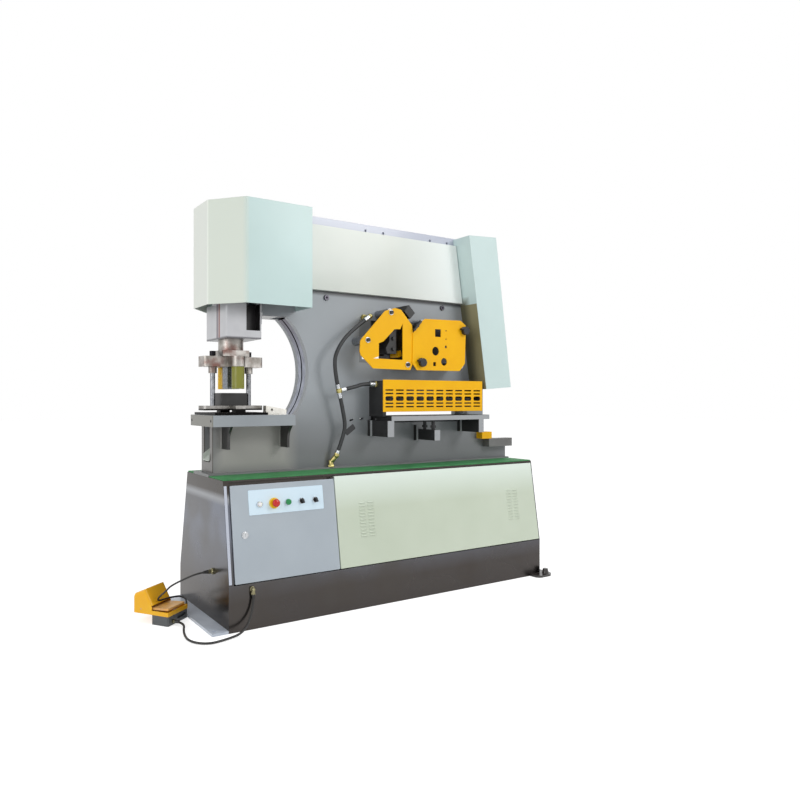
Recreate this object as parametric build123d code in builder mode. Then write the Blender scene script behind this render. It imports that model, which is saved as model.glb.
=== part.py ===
from build123d import *
import os
from math import atan2, cos, radians, sin, tan

os.makedirs("parts", exist_ok=True)

# Driving dimensions, mm. Origin: centre of the four anchor holes at floor level.
# X runs right along the machine, Y to its back, Z up.
base_len = 1920
base_depth = 620
base_height = 645
knee_height = 200
rear_knee_height = 170
front_lean = 65
rear_lean = 105
sheet = 4
anchor_left = 55
anchor_right = 25
anchor_front = 30
anchor_x = base_len + anchor_left + anchor_right
anchor_y = base_depth - 2 * anchor_front
anchor_r = 9
flange_width = 75
flange_thick = 12

throat_r = 348
plate_thick = 30
plate_gap = 75
frame_height = 1924
guard_stand = 110

fit = 0.08
play = 0.5
seat = 0.3

left = anchor_left - anchor_x / 2
right = left + base_len
front = -(anchor_front + anchor_y / 2)
rear = front + base_depth
mid_y = front + 332

# Frame plates stand either side of the middle plane.
plate_front = mid_y - plate_gap / 2 - plate_thick
gap_front = mid_y - plate_gap / 2
gap_rear = mid_y + plate_gap / 2
plate_rear = gap_rear + plate_thick


def facing_front(y):
    """Plane seen from the front: sketch x is X, sketch y is Z, normal to the front."""
    return Plane.XZ.offset(-y)


def facing_right(x):
    """Plane seen from the right end: sketch x is Y, sketch y is Z, normal to the right."""
    return Plane.YZ.offset(x)


def at(height):
    return Plane.XY.offset(height)


# Sloping front of the base: plane through the knee, leaning back.
slope = atan2(front_lean, base_height - knee_height)
slope_run = (base_height - knee_height) / cos(slope)
slope_plane = Plane(origin=(left, front, knee_height), x_dir=(1, 0, 0), z_dir=(0, -cos(slope), sin(slope)))


def up_slope(z):
    return (z - knee_height) / cos(slope)


recess = 20
recess_y = recess / cos(slope)
pillar = 25
lip = 8
divider_x = 566

core = [
    (front, 0),
    (rear, 0),
    (rear, rear_knee_height),
    (rear - rear_lean, base_height),
    (front + front_lean + recess_y, base_height),
    (front + recess_y, knee_height),
    (front, knee_height),
]
wedge = [
    (front, knee_height),
    (front + front_lean, base_height),
    (front + front_lean + recess_y, base_height),
    (front + recess_y, knee_height),
]

# Control door, measured on the sloping face.
door_left = 31
door_right = 565
door_low = recess * tan(slope) + 1
door_high = up_slope(base_height - 23)
door_sheet = 2
swing_gap = 3
door_deep = recess - swing_gap
door_mid = ((door_left + door_right) / 2, (door_low + door_high) / 2)
door_size = (door_right - door_left, door_high - door_low)
hinge_in = 7
hinge_r = 2.5

panel_left = 570
panel_right = base_len - 5
panel_low = up_slope(knee_height + 4)
panel_high = up_slope(base_height - 12)
panel_mid = ((panel_left + panel_right) / 2, (panel_low + panel_high) / 2)
panel_size = (panel_right - panel_left, panel_high - panel_low)
panel_sheet = 2

gland_y = front + 176
gland_z = 230
cable_r = 5
skirt_gland_x = left + 110
skirt_gland_z = 183

# Base cabinet: welded sheet shell with end pillars, recessed front wall and a divider.
with BuildPart() as base_cabinet:
    with BuildSketch(facing_right(left)):
        Polygon(*core, align=None)
    extrude(amount=base_len)
    with BuildSketch(facing_right(left + sheet)):
        Polygon(*core, align=None)
        offset(amount=-sheet, kind=Kind.INTERSECTION)
    extrude(amount=base_len - 2 * sheet, mode=Mode.SUBTRACT)
    with BuildSketch(facing_right(left + divider_x)):
        Polygon(*core, align=None)
        offset(amount=-sheet / 2, kind=Kind.INTERSECTION)
    extrude(amount=sheet)
    with BuildSketch(facing_right(left)):
        Polygon(*wedge, align=None)
    extrude(amount=pillar)
    with BuildSketch(facing_right(right - sheet)):
        Polygon(*wedge, align=None)
    extrude(amount=sheet)
    with BuildSketch(facing_right(left)):
        with Locations((front + front_lean, base_height)):
            Rectangle(2 * recess, lip, align=(Align.MIN, Align.MAX))
    extrude(amount=base_len)
    # Openings behind the door and behind the front panel.
    with BuildSketch(slope_plane.offset(-recess / 2)):
        with Locations(door_mid):
            Rectangle(door_size[0] - 60, door_size[1] - 50)
        with Locations(panel_mid):
            Rectangle(panel_size[0] - 60, panel_size[1] - 50)
    extrude(amount=-recess, mode=Mode.SUBTRACT)
    # Upper hinge ear and the two hinge pins.
    with BuildSketch(slope_plane.offset(-recess)):
        with Locations((door_right - hinge_in, door_high + 5)):
            Rectangle(16, 6)
    extrude(amount=recess - 1)
    with BuildSketch(Plane(origin=slope_plane.from_local_coords(
            (door_right - hinge_in, door_high - 6, -hinge_in)), x_dir=(1, 0, 0),
            z_dir=(0, sin(slope), cos(slope)))):
        Circle(hinge_r)
    extrude(amount=9)
    with BuildSketch(Plane(origin=slope_plane.from_local_coords(
            (door_right - hinge_in, -2, -hinge_in)), x_dir=(1, 0, 0),
            z_dir=(0, sin(slope), cos(slope)))):
        Circle(hinge_r)
    extrude(amount=12)
    # Cable outlets: left end and skirt.
    with BuildSketch(facing_right(left - 1)):
        with Locations((gland_y, gland_z)):
            Circle(cable_r + 1)
    extrude(amount=sheet + 2, mode=Mode.SUBTRACT)
    with BuildSketch(facing_front(front + sheet + 1)):
        with Locations((skirt_gland_x, skirt_gland_z)):
            Circle(cable_r + 1)
    extrude(amount=sheet + 2, mode=Mode.SUBTRACT)
    # Breather slots in the back of the hydraulic side.
    with BuildSketch(facing_front(rear + 1)):
        with GridLocations(220, 18, 2, 7):
            with Locations((left + 1300, 90)):
                SlotOverall(160, 6)
    extrude(amount=sheet + 2, mode=Mode.SUBTRACT)
base_cabinet.part.label = "base_cabinet"
export_step(base_cabinet.part, "parts/base_cabinet.step")

lug_out = 50
lug_fore = 62
lug_back = 70
lug_boss_r = 19

# Foot flange on the left end and two rounded corner lugs on the right.
with BuildPart() as foot_flanges:
    with BuildSketch(at(0)):
        with Locations((left, front)):
            Rectangle(flange_width, base_depth, align=(Align.MAX, Align.MIN))
    extrude(amount=flange_thick)
    for corner, way in ((front, 1), (rear, -1)):
        with BuildSketch(at(0)) as lug:
            with Locations((right + lug_out, corner - way * lug_fore)):
                Rectangle(130, lug_fore + lug_back, align=(Align.MAX, Align.MIN if way > 0 else Align.MAX))
            fillet(lug.vertices().sort_by(Axis.X)[-2:].sort_by(Axis.Y)[0 if way > 0 else 1], 44)
            fillet(lug.vertices().sort_by(Axis.X)[0:2].sort_by(Axis.Y)[0 if way > 0 else 1], 30)
            with Locations((right, corner)):
                Rectangle(300, 300, align=(Align.MAX, Align.MIN if way > 0 else Align.MAX),
                          mode=Mode.SUBTRACT)
        extrude(amount=flange_thick)
        with BuildSketch(at(flange_thick)):
            with Locations((right + 12, corner - way * 30)):
                Circle(lug_boss_r)
        extrude(amount=26, taper=12)
    with BuildSketch(at(0)):
        with GridLocations(anchor_x, anchor_y, 2, 2):
            Circle(anchor_r)
    extrude(amount=flange_thick + 1, mode=Mode.SUBTRACT)
foot_flanges.part.label = "foot_flanges"
export_step(foot_flanges.part, "parts/foot_flanges.step")

foot_front = front + 236
foot_rear = 2 * mid_y - foot_front
foot_thick = 12
plate_foot = base_height + foot_thick

with BuildPart() as frame_foot:
    with BuildSketch(at(base_height)):
        with Locations((left, foot_front)):
            Rectangle(base_len, foot_rear - foot_front, align=(Align.MIN, Align.MIN))
    extrude(amount=foot_thick)
frame_foot.part.label = "frame_foot"
export_step(frame_foot.part, "parts/frame_foot.step")

mat_thick = 5
mat_edge = 3

# Green rubber mat in front of and behind the frame foot.
with BuildPart() as top_mat:
    with BuildSketch(at(base_height)):
        with Locations((left + mat_edge, front + front_lean + mat_edge)):
            Rectangle(base_len - 2 * mat_edge, foot_front - front - front_lean - 2 * mat_edge,
                      align=(Align.MIN, Align.MIN))
        with Locations((left + mat_edge, foot_rear + mat_edge)):
            Rectangle(base_len - 2 * mat_edge, rear - rear_lean - foot_rear - 2 * mat_edge,
                      align=(Align.MIN, Align.MIN))
    extrude(amount=mat_thick)
top_mat.part.label = "top_mat"
export_step(top_mat.part, "parts/top_mat.step")

louvre_pitch = 16
louvre_rows = 11
louvre_slot = 38

# Pale front panel with two fields of louvre slots.
with BuildPart() as front_panel:
    with BuildSketch(slope_plane):
        with Locations(panel_mid):
            Rectangle(*panel_size)
    extrude(amount=-recess)
    with BuildSketch(slope_plane.offset(-panel_sheet)):
        with Locations(panel_mid):
            Rectangle(panel_size[0] - 2 * panel_sheet, panel_size[1] - 2 * panel_sheet)
    extrude(amount=-recess, mode=Mode.SUBTRACT)
    for field_x, field_z in ((panel_left + 170, base_height - 225), (panel_right - 180, base_height - 234)):
        with BuildSketch(slope_plane.offset(1)):
            with Locations((field_x, up_slope(field_z))):
                with GridLocations(louvre_slot + 11, louvre_pitch, 2, louvre_rows):
                    SlotOverall(louvre_slot, 5)
        extrude(amount=-panel_sheet - 2, mode=Mode.SUBTRACT)
    fillet(front_panel.faces().filter_by(slope_plane).sort_by(Axis.Y)[0].outer_wire().edges(), 1.2)
front_panel.part.label = "front_panel"
export_step(front_panel.part, "parts/front_panel.step")

# Control row on the door.
row = up_slope(base_height - 112)
lamp_x = 167
estop_x = 239
start_x = 310
selector_xs = (380, 452)
stem_r = 9
lock_x = 89
lock_v = up_slope(base_height - 238)
lock_r = 9
plate_low = up_slope(base_height - 157)
plate_high = up_slope(base_height - 48)
plate_v = (plate_low + plate_high) / 2
plate_size = (384, plate_high - plate_low)
control_thick = 2

with BuildPart() as control_door:
    with BuildSketch(slope_plane):
        with Locations(door_mid):
            RectangleRounded(*door_size, 5)
    extrude(amount=-door_deep)
    with BuildSketch(slope_plane.offset(-door_sheet)):
        with Locations(door_mid):
            RectangleRounded(door_size[0] - 2 * door_sheet, door_size[1] - 2 * door_sheet, 3)
    extrude(amount=-door_deep, mode=Mode.SUBTRACT)
    with BuildSketch(slope_plane):
        with Locations(*[(x, row) for x in (lamp_x, estop_x, start_x) + selector_xs]):
            Circle(stem_r + 1)
        with Locations((lock_x, lock_v)):
            Circle(lock_r + fit)
    extrude(amount=-door_sheet, mode=Mode.SUBTRACT)
    for v in (door_low, door_high - door_sheet):
        with BuildSketch(Plane(origin=slope_plane.from_local_coords(
                (door_right - hinge_in, v - 1, -hinge_in)), x_dir=(1, 0, 0),
                z_dir=(0, sin(slope), cos(slope)))):
            Circle(hinge_r + fit)
        extrude(amount=door_sheet + 2, mode=Mode.SUBTRACT)
    fillet(control_door.faces().filter_by(slope_plane).sort_by(Axis.Y)[0].outer_wire().edges(), 1.2)
control_door.part.label = "control_door"
export_step(control_door.part, "parts/control_door.step")

with BuildPart() as control_plate:
    with BuildSketch(slope_plane):
        with Locations((307, plate_v)):
            RectangleRounded(*plate_size, 5)
        with Locations(*[(x, row) for x in (lamp_x, estop_x, start_x) + selector_xs]):
            Circle(stem_r + 1, mode=Mode.SUBTRACT)
    extrude(amount=control_thick)
control_plate.part.label = "control_plate"
export_step(control_plate.part, "parts/control_plate.step")

bezel_r = 14.5
bezel_out = 7

# Power lamp in its bezel, and the bezel rings of the other small controls.
with BuildPart() as lamp_and_bezels:
    with BuildSketch(slope_plane.offset(control_thick)):
        with Locations(*[(x, row) for x in (lamp_x, start_x) + selector_xs]):
            Circle(bezel_r)
    extrude(amount=bezel_out, taper=8)
    with BuildSketch(slope_plane.offset(control_thick)):
        with Locations(*[(x, row) for x in (start_x,) + selector_xs]):
            Circle(stem_r + fit)
    extrude(amount=bezel_out, mode=Mode.SUBTRACT)
    with BuildSketch(slope_plane.offset(control_thick)):
        with Locations((lamp_x, row)):
            Circle(stem_r)
    extrude(amount=-12)
    with BuildSketch(slope_plane.offset(control_thick + bezel_out)):
        with Locations((lamp_x, row)):
            Circle(stem_r + 1.5)
    extrude(amount=4, taper=30)
lamp_and_bezels.part.label = "lamp_and_bezels"
export_step(lamp_and_bezels.part, "parts/lamp_and_bezels.step")

collar_r = 24
collar_out = 10

with BuildPart() as estop_collar:
    with BuildSketch(slope_plane.offset(control_thick)):
        with Locations((estop_x, row)):
            Circle(collar_r)
            Circle(stem_r + fit, mode=Mode.SUBTRACT)
    extrude(amount=collar_out)
    fillet(estop_collar.edges().filter_by(GeomType.CIRCLE).sort_by(Axis.Y)[0], 2)
estop_collar.part.label = "estop_collar"
export_step(estop_collar.part, "parts/estop_collar.step")

estop_r = 20.5
estop_gap = 9

# Emergency stop mushroom on its stem.
with BuildPart() as estop_button:
    with BuildSketch(slope_plane.offset(-14)):
        with Locations((estop_x, row)):
            Circle(stem_r)
    extrude(amount=14 + control_thick + collar_out + estop_gap)
    with BuildSketch(slope_plane.offset(control_thick + collar_out + estop_gap)):
        with Locations((estop_x, row)):
            Circle(estop_r)
    extrude(amount=16)
    fillet(estop_button.faces().sort_by(Axis.Y)[0].edges(), 6)
estop_button.part.label = "estop_button"
export_step(estop_button.part, "parts/estop_button.step")

start_out = 6

with BuildPart() as start_button:
    with BuildSketch(slope_plane.offset(-14)):
        with Locations((start_x, row)):
            Circle(stem_r)
    extrude(amount=14 + control_thick + bezel_out + start_out)
    fillet(start_button.faces().sort_by(Axis.Y)[0].edges(), 2)
start_button.part.label = "start_button"
export_step(start_button.part, "parts/start_button.step")

selector_out = 16

with BuildPart() as selector_left:
    with BuildSketch(slope_plane.offset(-14)):
        with Locations((selector_xs[0], row)):
            Circle(stem_r)
    extrude(amount=14 + control_thick + bezel_out + 4)
    with BuildSketch(slope_plane.offset(control_thick + bezel_out + 4)):
        with Locations((selector_xs[0], row)):
            SlotOverall(24, 8, rotation=60)
    extrude(amount=selector_out - 4)
selector_left.part.label = "selector_left"
export_step(selector_left.part, "parts/selector_left.step")

with BuildPart() as selector_right:
    with BuildSketch(slope_plane.offset(-14)):
        with Locations((selector_xs[1], row)):
            Circle(stem_r)
    extrude(amount=14 + control_thick + bezel_out + 4)
    with BuildSketch(slope_plane.offset(control_thick + bezel_out + 4)):
        with Locations((selector_xs[1], row)):
            SlotOverall(24, 8, rotation=60)
    extrude(amount=selector_out - 4)
selector_right.part.label = "selector_right"
export_step(selector_right.part, "parts/selector_right.step")

cam_reach = 44

# Quarter turn lock; its cam stands upright while the door is free.
with BuildPart() as door_lock:
    with BuildSketch(slope_plane.offset(fit)):
        with Locations((lock_x, lock_v)):
            Circle(16)
    extrude(amount=3)
    with BuildSketch(slope_plane.offset(3 + fit)):
        with Locations((lock_x, lock_v)):
            Circle(12)
            SlotOverall(14, 4, rotation=90, mode=Mode.SUBTRACT)
    extrude(amount=3)
    with BuildSketch(slope_plane.offset(fit)):
        with Locations((lock_x, lock_v)):
            Circle(lock_r)
    extrude(amount=-fit - recess - sheet - 4)
    with BuildSketch(slope_plane.offset(-recess - sheet - 1)):
        with Locations((lock_x, lock_v + cam_reach / 2 - 6)):
            SlotOverall(cam_reach + 12, 16, rotation=90)
    extrude(amount=-3)
door_lock.part.label = "door_lock"
export_step(door_lock.part, "parts/door_lock.step")

board_y = front + 330
board_low = 190
board_high = base_height - 45

# Electrical board: back plate with rails, breakers, contactors and terminals.
with BuildPart() as electrical_board:
    with BuildSketch(facing_front(board_y)):
        with Locations((left + divider_x, board_low)):
            Rectangle(480, board_high - board_low, align=(Align.MAX, Align.MIN))
    extrude(amount=3)
    with BuildSketch(facing_right(left + divider_x - 480)):
        with Locations((board_y, sheet)):
            Rectangle(30, board_high - sheet, align=(Align.MIN, Align.MIN))
    extrude(amount=4)
    with BuildSketch(facing_front(board_y - 3)):
        with Locations((left + divider_x - 240, board_high - 80)):
            with GridLocations(52, 0, 6, 1):
                Rectangle(46, 84)
    extrude(amount=62)
    with BuildSketch(facing_front(board_y - 3)):
        with Locations((left + divider_x - 330, board_high - 210)):
            with GridLocations(20, 0, 9, 1):
                Rectangle(18, 80)
        with Locations((left + divider_x - 130, board_high - 210)):
            Rectangle(150, 110)
    extrude(amount=52)
    with BuildSketch(facing_front(board_y - 3)):
        with Locations((left + divider_x - 240, board_high - 330)):
            with GridLocations(14, 0, 26, 1):
                Rectangle(10, 46)
    extrude(amount=34)
electrical_board.part.label = "electrical_board"
export_step(electrical_board.part, "parts/electrical_board.step")

tank_high = 300
motor_r = 105

# Oil tank with the electric motor, gear pump and valve block on its lid.
with BuildPart() as power_pack:
    with BuildSketch(at(sheet)):
        with Locations((left + 1180, front + 320)):
            RectangleRounded(860, 400, 20)
    extrude(amount=tank_high)
    with BuildSketch(at(sheet + tank_high)):
        with Locations((left + 1180, front + 320)):
            RectangleRounded(890, 430, 20)
    extrude(amount=10)
    with BuildSketch(facing_right(left + 830)):
        with Locations((front + 320, sheet + tank_high + 18 + motor_r)):
            Circle(motor_r)
    extrude(amount=300)
    with BuildSketch(facing_right(left + 1130)):
        with Locations((front + 320, sheet + tank_high + 18 + motor_r)):
            Circle(62)
    extrude(amount=130)
    with BuildSketch(at(sheet + tank_high + 10)):
        with Locations((left + 980, front + 320)):
            Rectangle(240, 150)
        with Locations((left + 1200, front + 320)):
            Rectangle(60, 90)
    extrude(amount=60)
    with BuildSketch(at(sheet + tank_high + 10)):
        with Locations((left + 1440, front + 320)):
            Rectangle(140, 130)
    extrude(amount=150)
power_pack.part.label = "power_pack"
export_step(power_pack.part, "parts/power_pack.step")

# Throat, punching axis and arms of the frame.
punch_x = left + 152
throat_x = left + 195
throat_z = 1142
arm_low = 1405
arm_top = frame_height - 44
table_under = 877
arm_left = left + 30
head_left = left + 76
head_right = left + 256
step_x = right - 185
step_z = plate_foot + 63

throat_upper = throat_x + (throat_r ** 2 - (arm_low - throat_z) ** 2) ** 0.5
throat_lower = throat_x + (throat_r ** 2 - (throat_z - table_under) ** 2) ** 0.5

# Shear cylinder axis: it leans to the left going up.
axis_top_x = right - 315
axis_top_z = frame_height - 1
axis_foot_x = right - 189
axis_foot_z = 1065
lean = atan2(axis_foot_x - axis_top_x, axis_top_z - axis_foot_z)
barrel_half = 75
barrel_foot_z = 1400
shelf_z = 1300


def axis_x(z):
    return axis_top_x + (axis_top_z - z) * tan(lean)


# Pivot of the shear beam and the pad where the rod presses on it.
pivot_x = left + 731
pivot_z = 1080
hub_r = 45
beam_turn = 5.5
reach = (axis_top_x - pivot_x) * cos(lean) + (axis_top_z - pivot_z) * sin(lean)
pad_x = pivot_x + reach * cos(lean)
pad_z = pivot_z + reach * sin(lean)

# Stations cut through the frame.
angle_x = left + 1050
angle_z = 1213
angle_leg = 182
section_mid = (left + 1308, 1284)
section_size = (182, 226)
square_hole = (left + 1287, 1361, 42)
round_hole_a = (left + 1270, 1262, 24)
round_hole_b = (left + 1330, 1206, 21)
slot_left = left + 925
slot_right = right - 310
blade_top = 915
blade_high = 40
blade_thick = 20
slot_high = 50

frame_outline = [
    (throat_lower, table_under),
    (arm_left, table_under),
    (arm_left, plate_foot),
    (right, plate_foot),
    (right, step_z),
    (step_x, step_z),
    (step_x, shelf_z),
    (axis_x(shelf_z) - barrel_half / cos(lean), shelf_z),
    (axis_x(frame_height) - barrel_half / cos(lean), frame_height),
    (left + 500, frame_height),
    (left + 500, arm_top),
    (head_right, arm_top),
    (head_right, arm_low),
    (throat_upper, arm_low),
]

with BuildPart() as frame_front_plate:
    with BuildSketch(facing_front(gap_front)):
        with BuildLine():
            Polyline(*frame_outline)
            ThreePointArc(frame_outline[-1], (throat_x + throat_r, throat_z), frame_outline[0])
        make_face()
        with Locations((angle_x + 25, angle_z - 18)):
            Rectangle(angle_leg + 43, angle_leg + 43, align=(Align.MAX, Align.MIN), mode=Mode.SUBTRACT)
        with Locations(section_mid):
            Rectangle(*section_size, mode=Mode.SUBTRACT)
        with Locations((slot_left, blade_top - blade_high)):
            Rectangle(slot_right - slot_left, blade_high + slot_high, align=(Align.MIN, Align.MIN),
                      mode=Mode.SUBTRACT)
        with Locations((left + 802, 893), (left + 867, 899)):
            SlotOverall(26, 9, rotation=12, mode=Mode.SUBTRACT)
    extrude(amount=plate_thick)
    with BuildSketch(facing_front(plate_front)):
        with Locations(*[(left + x, frame_height - 32) for x in (891, 1007, 1331, 1455)]):
            Circle(7)
    extrude(amount=-12, mode=Mode.SUBTRACT)
frame_front_plate.part.label = "frame_front_plate"
export_step(frame_front_plate.part, "parts/frame_front_plate.step")

with BuildPart() as frame_rear_plate:
    with BuildSketch(facing_front(plate_rear)):
        with BuildLine():
            Polyline(*frame_outline)
            ThreePointArc(frame_outline[-1], (throat_x + throat_r, throat_z), frame_outline[0])
        make_face()
        with Locations((angle_x + 50, angle_z - 70)):
            Rectangle(angle_leg + 90, angle_leg + 110, align=(Align.MAX, Align.MIN), mode=Mode.SUBTRACT)
        with Locations((section_mid[0], section_mid[1] - 30)):
            Rectangle(section_size[0], section_size[1] + 60, mode=Mode.SUBTRACT)
        with Locations((slot_left, blade_top - 110)):
            Rectangle(slot_right - slot_left, 110 + slot_high, align=(Align.MIN, Align.MIN),
                      mode=Mode.SUBTRACT)
    extrude(amount=plate_thick)
    with BuildSketch(facing_front(plate_rear)):
        with Locations((pivot_x, pivot_z)):
            Circle(hub_r + fit)
    extrude(amount=plate_thick, mode=Mode.SUBTRACT)
frame_rear_plate.part.label = "frame_rear_plate"
export_step(frame_rear_plate.part, "parts/frame_rear_plate.step")

# Bars welded between the plates, all in the gap.
with BuildPart() as frame_spacers:
    with BuildSketch(facing_front(gap_rear)):
        with Locations((arm_left, plate_foot)):
            Rectangle(right - arm_left, 34, align=(Align.MIN, Align.MIN))
            Rectangle(40, 50, align=(Align.MIN, Align.MIN))
        with Locations((right, plate_foot)):
            Rectangle(right - step_x, step_z - plate_foot, align=(Align.MAX, Align.MIN))
        with Locations((left + 520, frame_height)):
            Rectangle(980, 34, align=(Align.MIN, Align.MAX))
        with Locations((head_right, arm_low)):
            Rectangle(120, 30, align=(Align.MIN, Align.MIN))
        with Locations((left + 590, arm_low + 55)):
            Rectangle(26, arm_low - plate_foot - 48, align=(Align.MIN, Align.MAX))
    extrude(amount=plate_gap)
frame_spacers.part.label = "frame_spacers"
export_step(frame_spacers.part, "parts/frame_spacers.step")

liner_wide = 32
liner_deep = 20
liner_low = -45
liner_high = 48

# Two curved bright strips line the throat with a narrow slit between them.
with BuildPart() as throat_liner:
    for strip_rear in (gap_front + liner_wide, gap_rear):
        with BuildSketch(facing_front(strip_rear)):
            with BuildLine():
                CenterArc((throat_x, throat_z), throat_r, liner_low, liner_high - liner_low)
                CenterArc((throat_x, throat_z), throat_r + liner_deep, liner_low, liner_high - liner_low)
                for end in (radians(liner_low), radians(liner_high)):
                    Line((throat_x + throat_r * cos(end), throat_z + throat_r * sin(end)),
                         (throat_x + (throat_r + liner_deep) * cos(end),
                          throat_z + (throat_r + liner_deep) * sin(end)))
            make_face()
        extrude(amount=liner_wide)
throat_liner.part.label = "throat_liner"
export_step(throat_liner.part, "parts/throat_liner.step")

chute_low = plate_foot + 55
chute_high = table_under - 31

# Slug chute: a white trough falling to the left between the plates.
with BuildPart() as slug_chute:
    with BuildSketch(facing_front(gap_rear)):
        Polygon((left + 205, chute_high), (left + 24, chute_low), (left + 24, chute_low + 30),
                (left + 205, chute_high + 30), align=None)
    extrude(amount=plate_gap)
    with BuildSketch(facing_front(gap_rear - 2)):
        Polygon((left + 210, chute_high + 7), (left + 20, chute_low), (left + 20, chute_low + 50),
                (left + 210, chute_high + 54), align=None)
    extrude(amount=plate_gap - 4, mode=Mode.SUBTRACT)
slug_chute.part.label = "slug_chute"
export_step(slug_chute.part, "parts/slug_chute.step")

# Punching side, around the punch axis.
head_front = mid_y - 125
head_deep = 250
head_low = 1285
head_high = 1450
barrel_r = 88
barrel_high = frame_height - 124
ram_r = 60
ram_low = 1233
ram_top = barrel_high - 97
window_left = left + 177
window_low = 1324
window_deep = 55

# Punching cylinder: square head with a window in front, round barrel above, and a stroke rod.
with BuildPart() as punch_cylinder:
    with BuildSketch(at(head_low)):
        with Locations((head_left, head_front)):
            Rectangle(head_right - head_left, head_deep, align=(Align.MIN, Align.MIN))
    extrude(amount=head_high - head_low)
    fillet(punch_cylinder.edges().filter_by(Axis.Z), 6)
    with BuildSketch(at(head_high)):
        with Locations((punch_x, mid_y)):
            Circle(barrel_r)
    extrude(amount=barrel_high - head_high)
    with BuildSketch(at(head_low)):
        with Locations((punch_x, mid_y)):
            Circle(ram_r + fit)
    extrude(amount=barrel_high - head_low - 40, mode=Mode.SUBTRACT)
    with BuildSketch(at(window_low)):
        with Locations((window_left, head_front)):
            Rectangle(head_right - 7 - window_left, window_deep, align=(Align.MIN, Align.MIN))
    extrude(amount=head_high - window_low, mode=Mode.SUBTRACT)
    with BuildSketch(facing_right(head_right)):
        with Locations((head_front + 25, 1412)):
            Circle(8)
    extrude(amount=14)
    with BuildSketch(at(1360)):
        with Locations((head_right + 9, head_front + 25)):
            Circle(3.5)
    extrude(amount=180)
punch_cylinder.part.label = "punch_cylinder"
export_step(punch_cylinder.part, "parts/punch_cylinder.step")

with BuildPart() as punch_ram:
    with BuildSketch(at(ram_low)):
        with Locations((punch_x, mid_y)):
            Circle(ram_r)
    extrude(amount=ram_top - ram_low)
    chamfer(punch_ram.edges().group_by(Axis.Z)[0], 2)
punch_ram.part.label = "punch_ram"
export_step(punch_ram.part, "parts/punch_ram.step")

cover_low = 1436
cover_high = frame_height - 10
cover_sheet = 3
cover_front = front + 98
cover_left = left - 3
cover_right = left + 470
cover_turn = left + 128
cover_side = front + 245
cover_plan = [
    (cover_turn, cover_front),
    (cover_right, cover_front),
    (cover_right, 2 * mid_y - cover_front),
    (cover_turn, 2 * mid_y - cover_front),
    (cover_left, 2 * mid_y - cover_side),
    (cover_left, cover_side),
]

# Large sheet cover over the punching cylinder, open below and slotted round the frame.
with BuildPart() as punch_cover:
    with BuildSketch(at(cover_low)):
        Polygon(*cover_plan, align=None)
    extrude(amount=cover_high - cover_low)
    with BuildSketch(at(cover_low)):
        Polygon(*cover_plan, align=None)
        offset(amount=-cover_sheet, kind=Kind.INTERSECTION)
    extrude(amount=cover_high - cover_low - cover_sheet, mode=Mode.SUBTRACT)
    with BuildSketch(at(cover_low)):
        with Locations((cover_right, mid_y)):
            Rectangle(20, plate_rear - plate_front + 2 * seat)
    extrude(amount=arm_top + seat - cover_low, mode=Mode.SUBTRACT)
punch_cover.part.label = "punch_cover"
export_step(punch_cover.part, "parts/punch_cover.step")

shoe_low = 1155
shoe_top = 1204
shoe_half = 150
shoe_deep = 86
spring_off = 85
spring_r = 30
pillar_off = 93
pillar_r = 12
bush_r = 20
bush_high = 30

# Upper shoe: cross plate with a square pad on top and two guide bushes below.
with BuildPart() as upper_shoe:
    with BuildSketch(at(shoe_low)):
        with Locations((punch_x, mid_y)):
            Rectangle(2 * shoe_half, shoe_deep)
            Rectangle(2 * spring_r + 8, 2 * spring_off)
        with Locations((punch_x, mid_y - spring_off), (punch_x, mid_y + spring_off)):
            Circle(spring_r + 4)
    extrude(amount=shoe_top - shoe_low)
    with BuildSketch(at(shoe_top)):
        with Locations((punch_x, mid_y)):
            Rectangle(134, 134)
    extrude(amount=ram_low - shoe_top)
    with BuildSketch(at(shoe_low)):
        with Locations((punch_x - pillar_off, mid_y), (punch_x + pillar_off, mid_y)):
            Circle(bush_r)
    extrude(amount=-bush_high)
    with BuildSketch(at(shoe_low - bush_high)):
        with Locations((punch_x - pillar_off, mid_y), (punch_x + pillar_off, mid_y)):
            Circle(pillar_r + fit)
    extrude(amount=bush_high + shoe_top - shoe_low, mode=Mode.SUBTRACT)
    chamfer(upper_shoe.edges().filter_by(Axis.Z).sort_by(Axis.X)[:2], 8)
    chamfer(upper_shoe.edges().filter_by(Axis.Z).sort_by(Axis.X)[-2:], 8)
upper_shoe.part.label = "upper_shoe"
export_step(upper_shoe.part, "parts/upper_shoe.step")

table_top = 928
saddle_top = 939
cross_low = 949
cross_top = 971
die_top = 1031

# Guide pillars with their stop caps.
with BuildPart() as guide_pillars:
    with BuildSketch(at(cross_top)):
        with Locations((punch_x - pillar_off, mid_y), (punch_x + pillar_off, mid_y)):
            Circle(pillar_r)
    extrude(amount=shoe_top + 6 - cross_top)
    with BuildSketch(at(shoe_top + 4)):
        with Locations((punch_x - pillar_off, mid_y), (punch_x + pillar_off, mid_y)):
            Circle(pillar_r + 2.5)
    extrude(amount=22)
guide_pillars.part.label = "guide_pillars"
export_step(guide_pillars.part, "parts/guide_pillars.step")

tool_low = 1050
punch_side = 60

with BuildPart() as stripper_springs:
    with BuildSketch(at(tool_low)):
        with Locations((punch_x, mid_y - spring_off), (punch_x, mid_y + spring_off)):
            Circle(spring_r)
    extrude(amount=shoe_low - tool_low)
    fillet(stripper_springs.edges().group_by(Axis.Z)[0], 2)
stripper_springs.part.label = "stripper_springs"
export_step(stripper_springs.part, "parts/stripper_springs.step")

with BuildPart() as punch_block:
    with BuildSketch(at(tool_low)):
        with Locations((punch_x, mid_y)):
            Rectangle(punch_side, punch_side)
    extrude(amount=shoe_low - tool_low)
punch_block.part.label = "punch_block"
export_step(punch_block.part, "parts/punch_block.step")

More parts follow.
